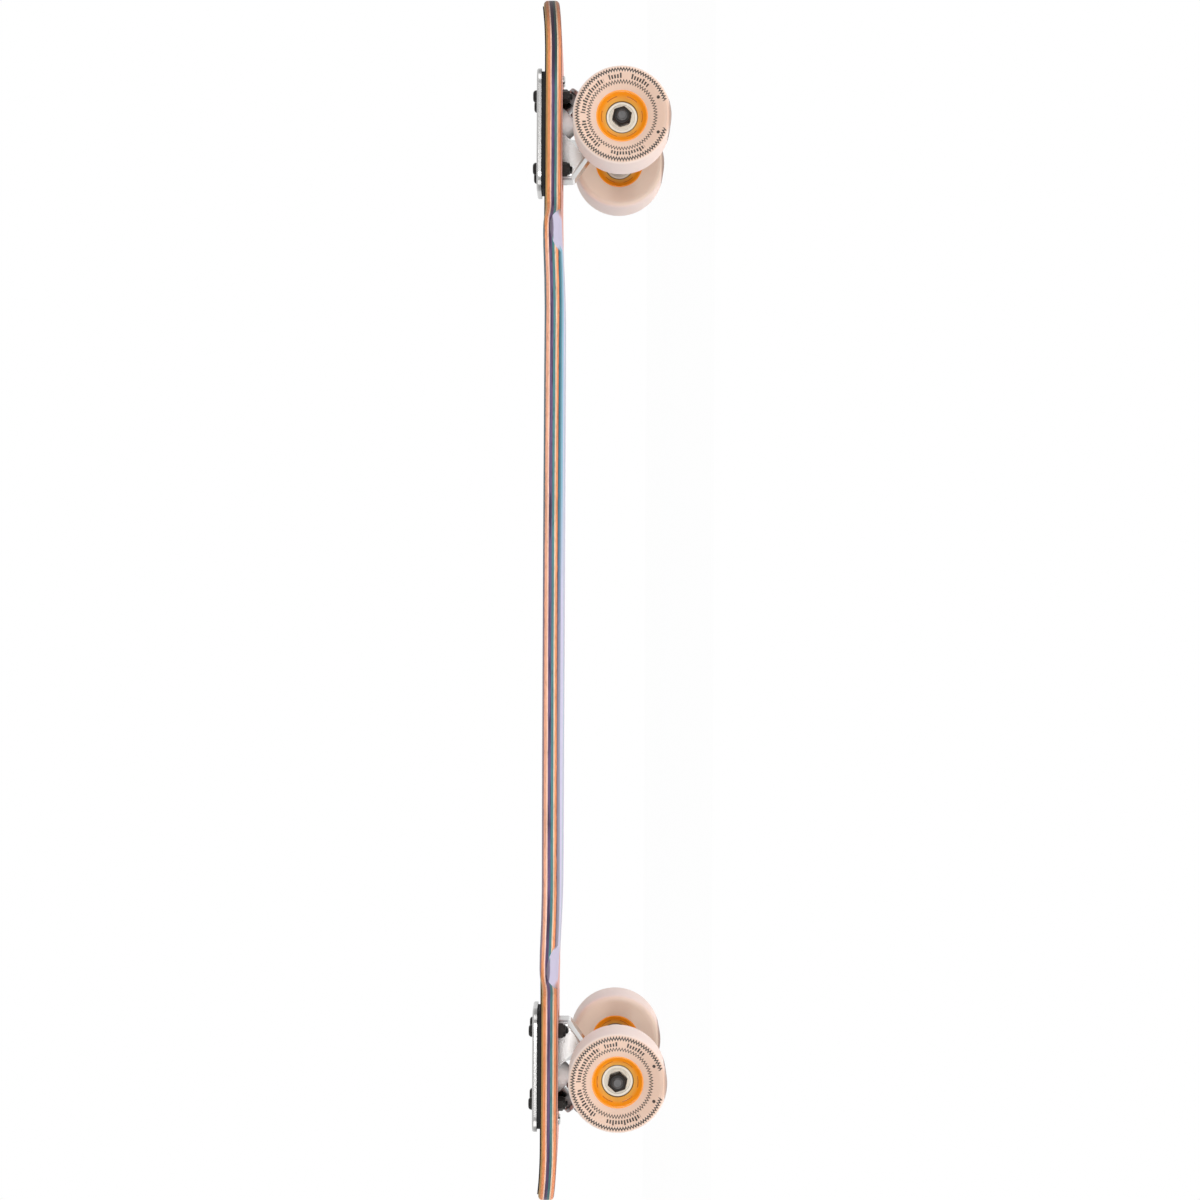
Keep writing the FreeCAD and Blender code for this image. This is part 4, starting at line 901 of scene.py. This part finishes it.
class LONGBOARD_OT_wheels(bpy.types.Operator):
    """Print the tyres, mould the cores and enamel the bearings"""
    bl_idname = "longboard.wheels"
    bl_label = "Wheels"

    def execute(self, context):
        look = context.scene.longboard_wheels
        steel = steel_finish("bearing_steel", context.scene.longboard_trucks.steel, roughness=0.12)
        for wheel, centre in WHEELS.items():
            dress([f"{wheel}_tyre"], tyre_finish(look, wheel, centre))
            dress([f"{wheel}_core"], core_finish(look, wheel, centre))
            enamel = bearing_finish(look, wheel, centre)
            dress([f"{wheel}_bearing_shields", f"{wheel}_bearing_outer_rings"], enamel)
            dress([f"{wheel}_bearing_balls"], steel)
        return {"FINISHED"}


def soft_lamp(name, place, aim, size, power):
    """Area lamp of a width and height at a place, facing a point."""
    data = bpy.data.lights.new(name, "AREA")
    data.shape = "RECTANGLE"
    data.size, data.size_y = size
    data.energy = power
    lamp = bpy.data.objects.new(name, data)
    facing = (Vector(aim) - Vector(place)).to_track_quat("-Z", "Y")
    lamp.matrix_world = Matrix.Translation(Vector(place)) @ facing.to_matrix().to_4x4()
    bpy.context.scene.collection.objects.link(lamp)
    return lamp


def white_room(strength):
    """World: soft light from all round, plain white where the camera, gloss or glass looks at it."""
    world = bpy.data.worlds.new("white_room")
    world.use_nodes = True
    graph = Graph(world.node_tree)
    back = graph.tree.nodes["Background"].inputs
    graph.feed(back["Color"], WHITE)
    graph.feed(back["Strength"], graph.fit(graph.seen(), 1 - strength, strength))
    bpy.context.scene.world = world


def floor_finish(look):
    """White paper: lifted to the background's white where it is seen, faintly shadowed, clear from below."""
    finish = Finish("floor_paper", Roughness=0.9, Base_Color=linear(look.floor))
    paper = finish.shader.outputs[0]
    glow = finish.add("ShaderNodeEmission", {"Color": WHITE, "Strength": 1.0}).outputs[0]
    lift = finish.times(finish.seen(), look.floor_lift)
    lifted = finish.add("ShaderNodeMixShader", {0: lift, 1: paper, 2: glow}).outputs[0]
    below = finish.add("ShaderNodeNewGeometry").outputs["Backfacing"]
    clear = finish.add("ShaderNodeBsdfTransparent").outputs[0]
    sheet = finish.add("ShaderNodeMixShader", {0: below, 1: lifted, 2: clear}).outputs[0]
    finish.feed(finish.tree.nodes["Material Output"].inputs["Surface"], sheet)
    return finish


class LONGBOARD_OT_stage(bpy.types.Operator):
    """Set the floor, the light and the camera"""
    bl_idname = "longboard.stage"
    bl_label = "Stage"

    def execute(self, context):
        look = context.scene.longboard_stage
        white_room(look.ambient)
        self.floor(context.scene, look)
        self.lamps(look)
        self.camera(context.scene, look)
        context.scene.view_settings.view_transform = "Standard"
        return {"FINISHED"}

    def floor(self, scene, look):
        """Sheet of paper just under the wheels."""
        x, y = look.floor_half
        z = -look.floor_depth
        mesh = bpy.data.meshes.new("studio_floor")
        mesh.from_pydata([(-x, -y, z), (x, -y, z), (x, y, z), (-x, y, z)], [], [(0, 1, 2, 3)])
        mesh.materials.append(floor_finish(look).material)
        floor = bpy.data.objects.new("studio_floor", mesh)
        scene.collection.objects.link(floor)

    def lamps(self, look):
        """Key light behind the camera, a fill light past each tip and a light table under the board."""
        soft_lamp("key_softbox", look.key_place, look.light_aim, look.key_size, look.key)
        x, y, z = look.fill_place
        for end, forward in ENDS.items():
            soft_lamp(f"{end}_softbox", (forward * x, y, z), look.light_aim, look.fill_size, look.fill)
        spot = Vector((0.0, 0.0, -look.table_depth))
        table = soft_lamp("table_softbox", spot, (0.0, 0.0, 1.0), look.table_size, look.table)
        table.visible_camera = False

    def camera(self, scene, look):
        """Camera on the right side of the board, nose up in the picture, ground to the right."""
        data = bpy.data.cameras.new("photo_camera")
        data.lens = look.focal
        data.sensor_width = look.sensor
        nose = Vector((1, 0, 0))
        ground = Vector((0, 0, -1))
        right = ground * math.cos(look.roll) + nose * math.sin(look.roll)
        up = nose * math.cos(look.roll) - ground * math.sin(look.roll)
        ahead = (Vector((0, 1, 0)) + right * look.aim_right + up * look.aim_up).normalized()
        right = (right - ahead * right.dot(ahead)).normalized()
        up = right.cross(ahead)
        turn = Matrix((right, up, -ahead)).transposed().to_4x4()
        camera = bpy.data.objects.new("photo_camera", data)
        camera.matrix_world = Matrix.Translation((look.along, -look.distance, look.height)) @ turn
        scene.collection.objects.link(camera)
        scene.camera = camera


class LONGBOARD_PT_panel(bpy.types.Panel):
    """Lists the steps that finish the board"""
    bl_idname = "LONGBOARD_PT_panel"
    bl_label = "Longboard"
    bl_space_type = "VIEW_3D"
    bl_region_type = "UI"
    bl_category = "Longboard"

    def draw(self, context):
        for step in STEPS:
            self.layout.operator(step.bl_idname)


STEPS = (LONGBOARD_OT_deck, LONGBOARD_OT_trucks, LONGBOARD_OT_hardware, LONGBOARD_OT_wheels,
         LONGBOARD_OT_stage)
LOOKS = {"longboard_deck": DeckLook, "longboard_wheels": WheelLook, "longboard_trucks": TruckLook,
         "longboard_stage": StageLook}
CLASSES = (*LOOKS.values(), *STEPS, LONGBOARD_PT_panel)


def register():
    for made in CLASSES:
        bpy.utils.register_class(made)
    for name, look in LOOKS.items():
        setattr(bpy.types.Scene, name, PointerProperty(type=look))


def unregister():
    for name in LOOKS:
        delattr(bpy.types.Scene, name)
    for made in reversed(CLASSES):
        bpy.utils.unregister_class(made)


def main():
    register()
    bpy.ops.longboard.deck()
    bpy.ops.longboard.trucks()
    bpy.ops.longboard.hardware()
    bpy.ops.longboard.wheels()
    bpy.ops.longboard.stage()
    bpy.context.view_layer.update()


if __name__ == "__main__":
    main()
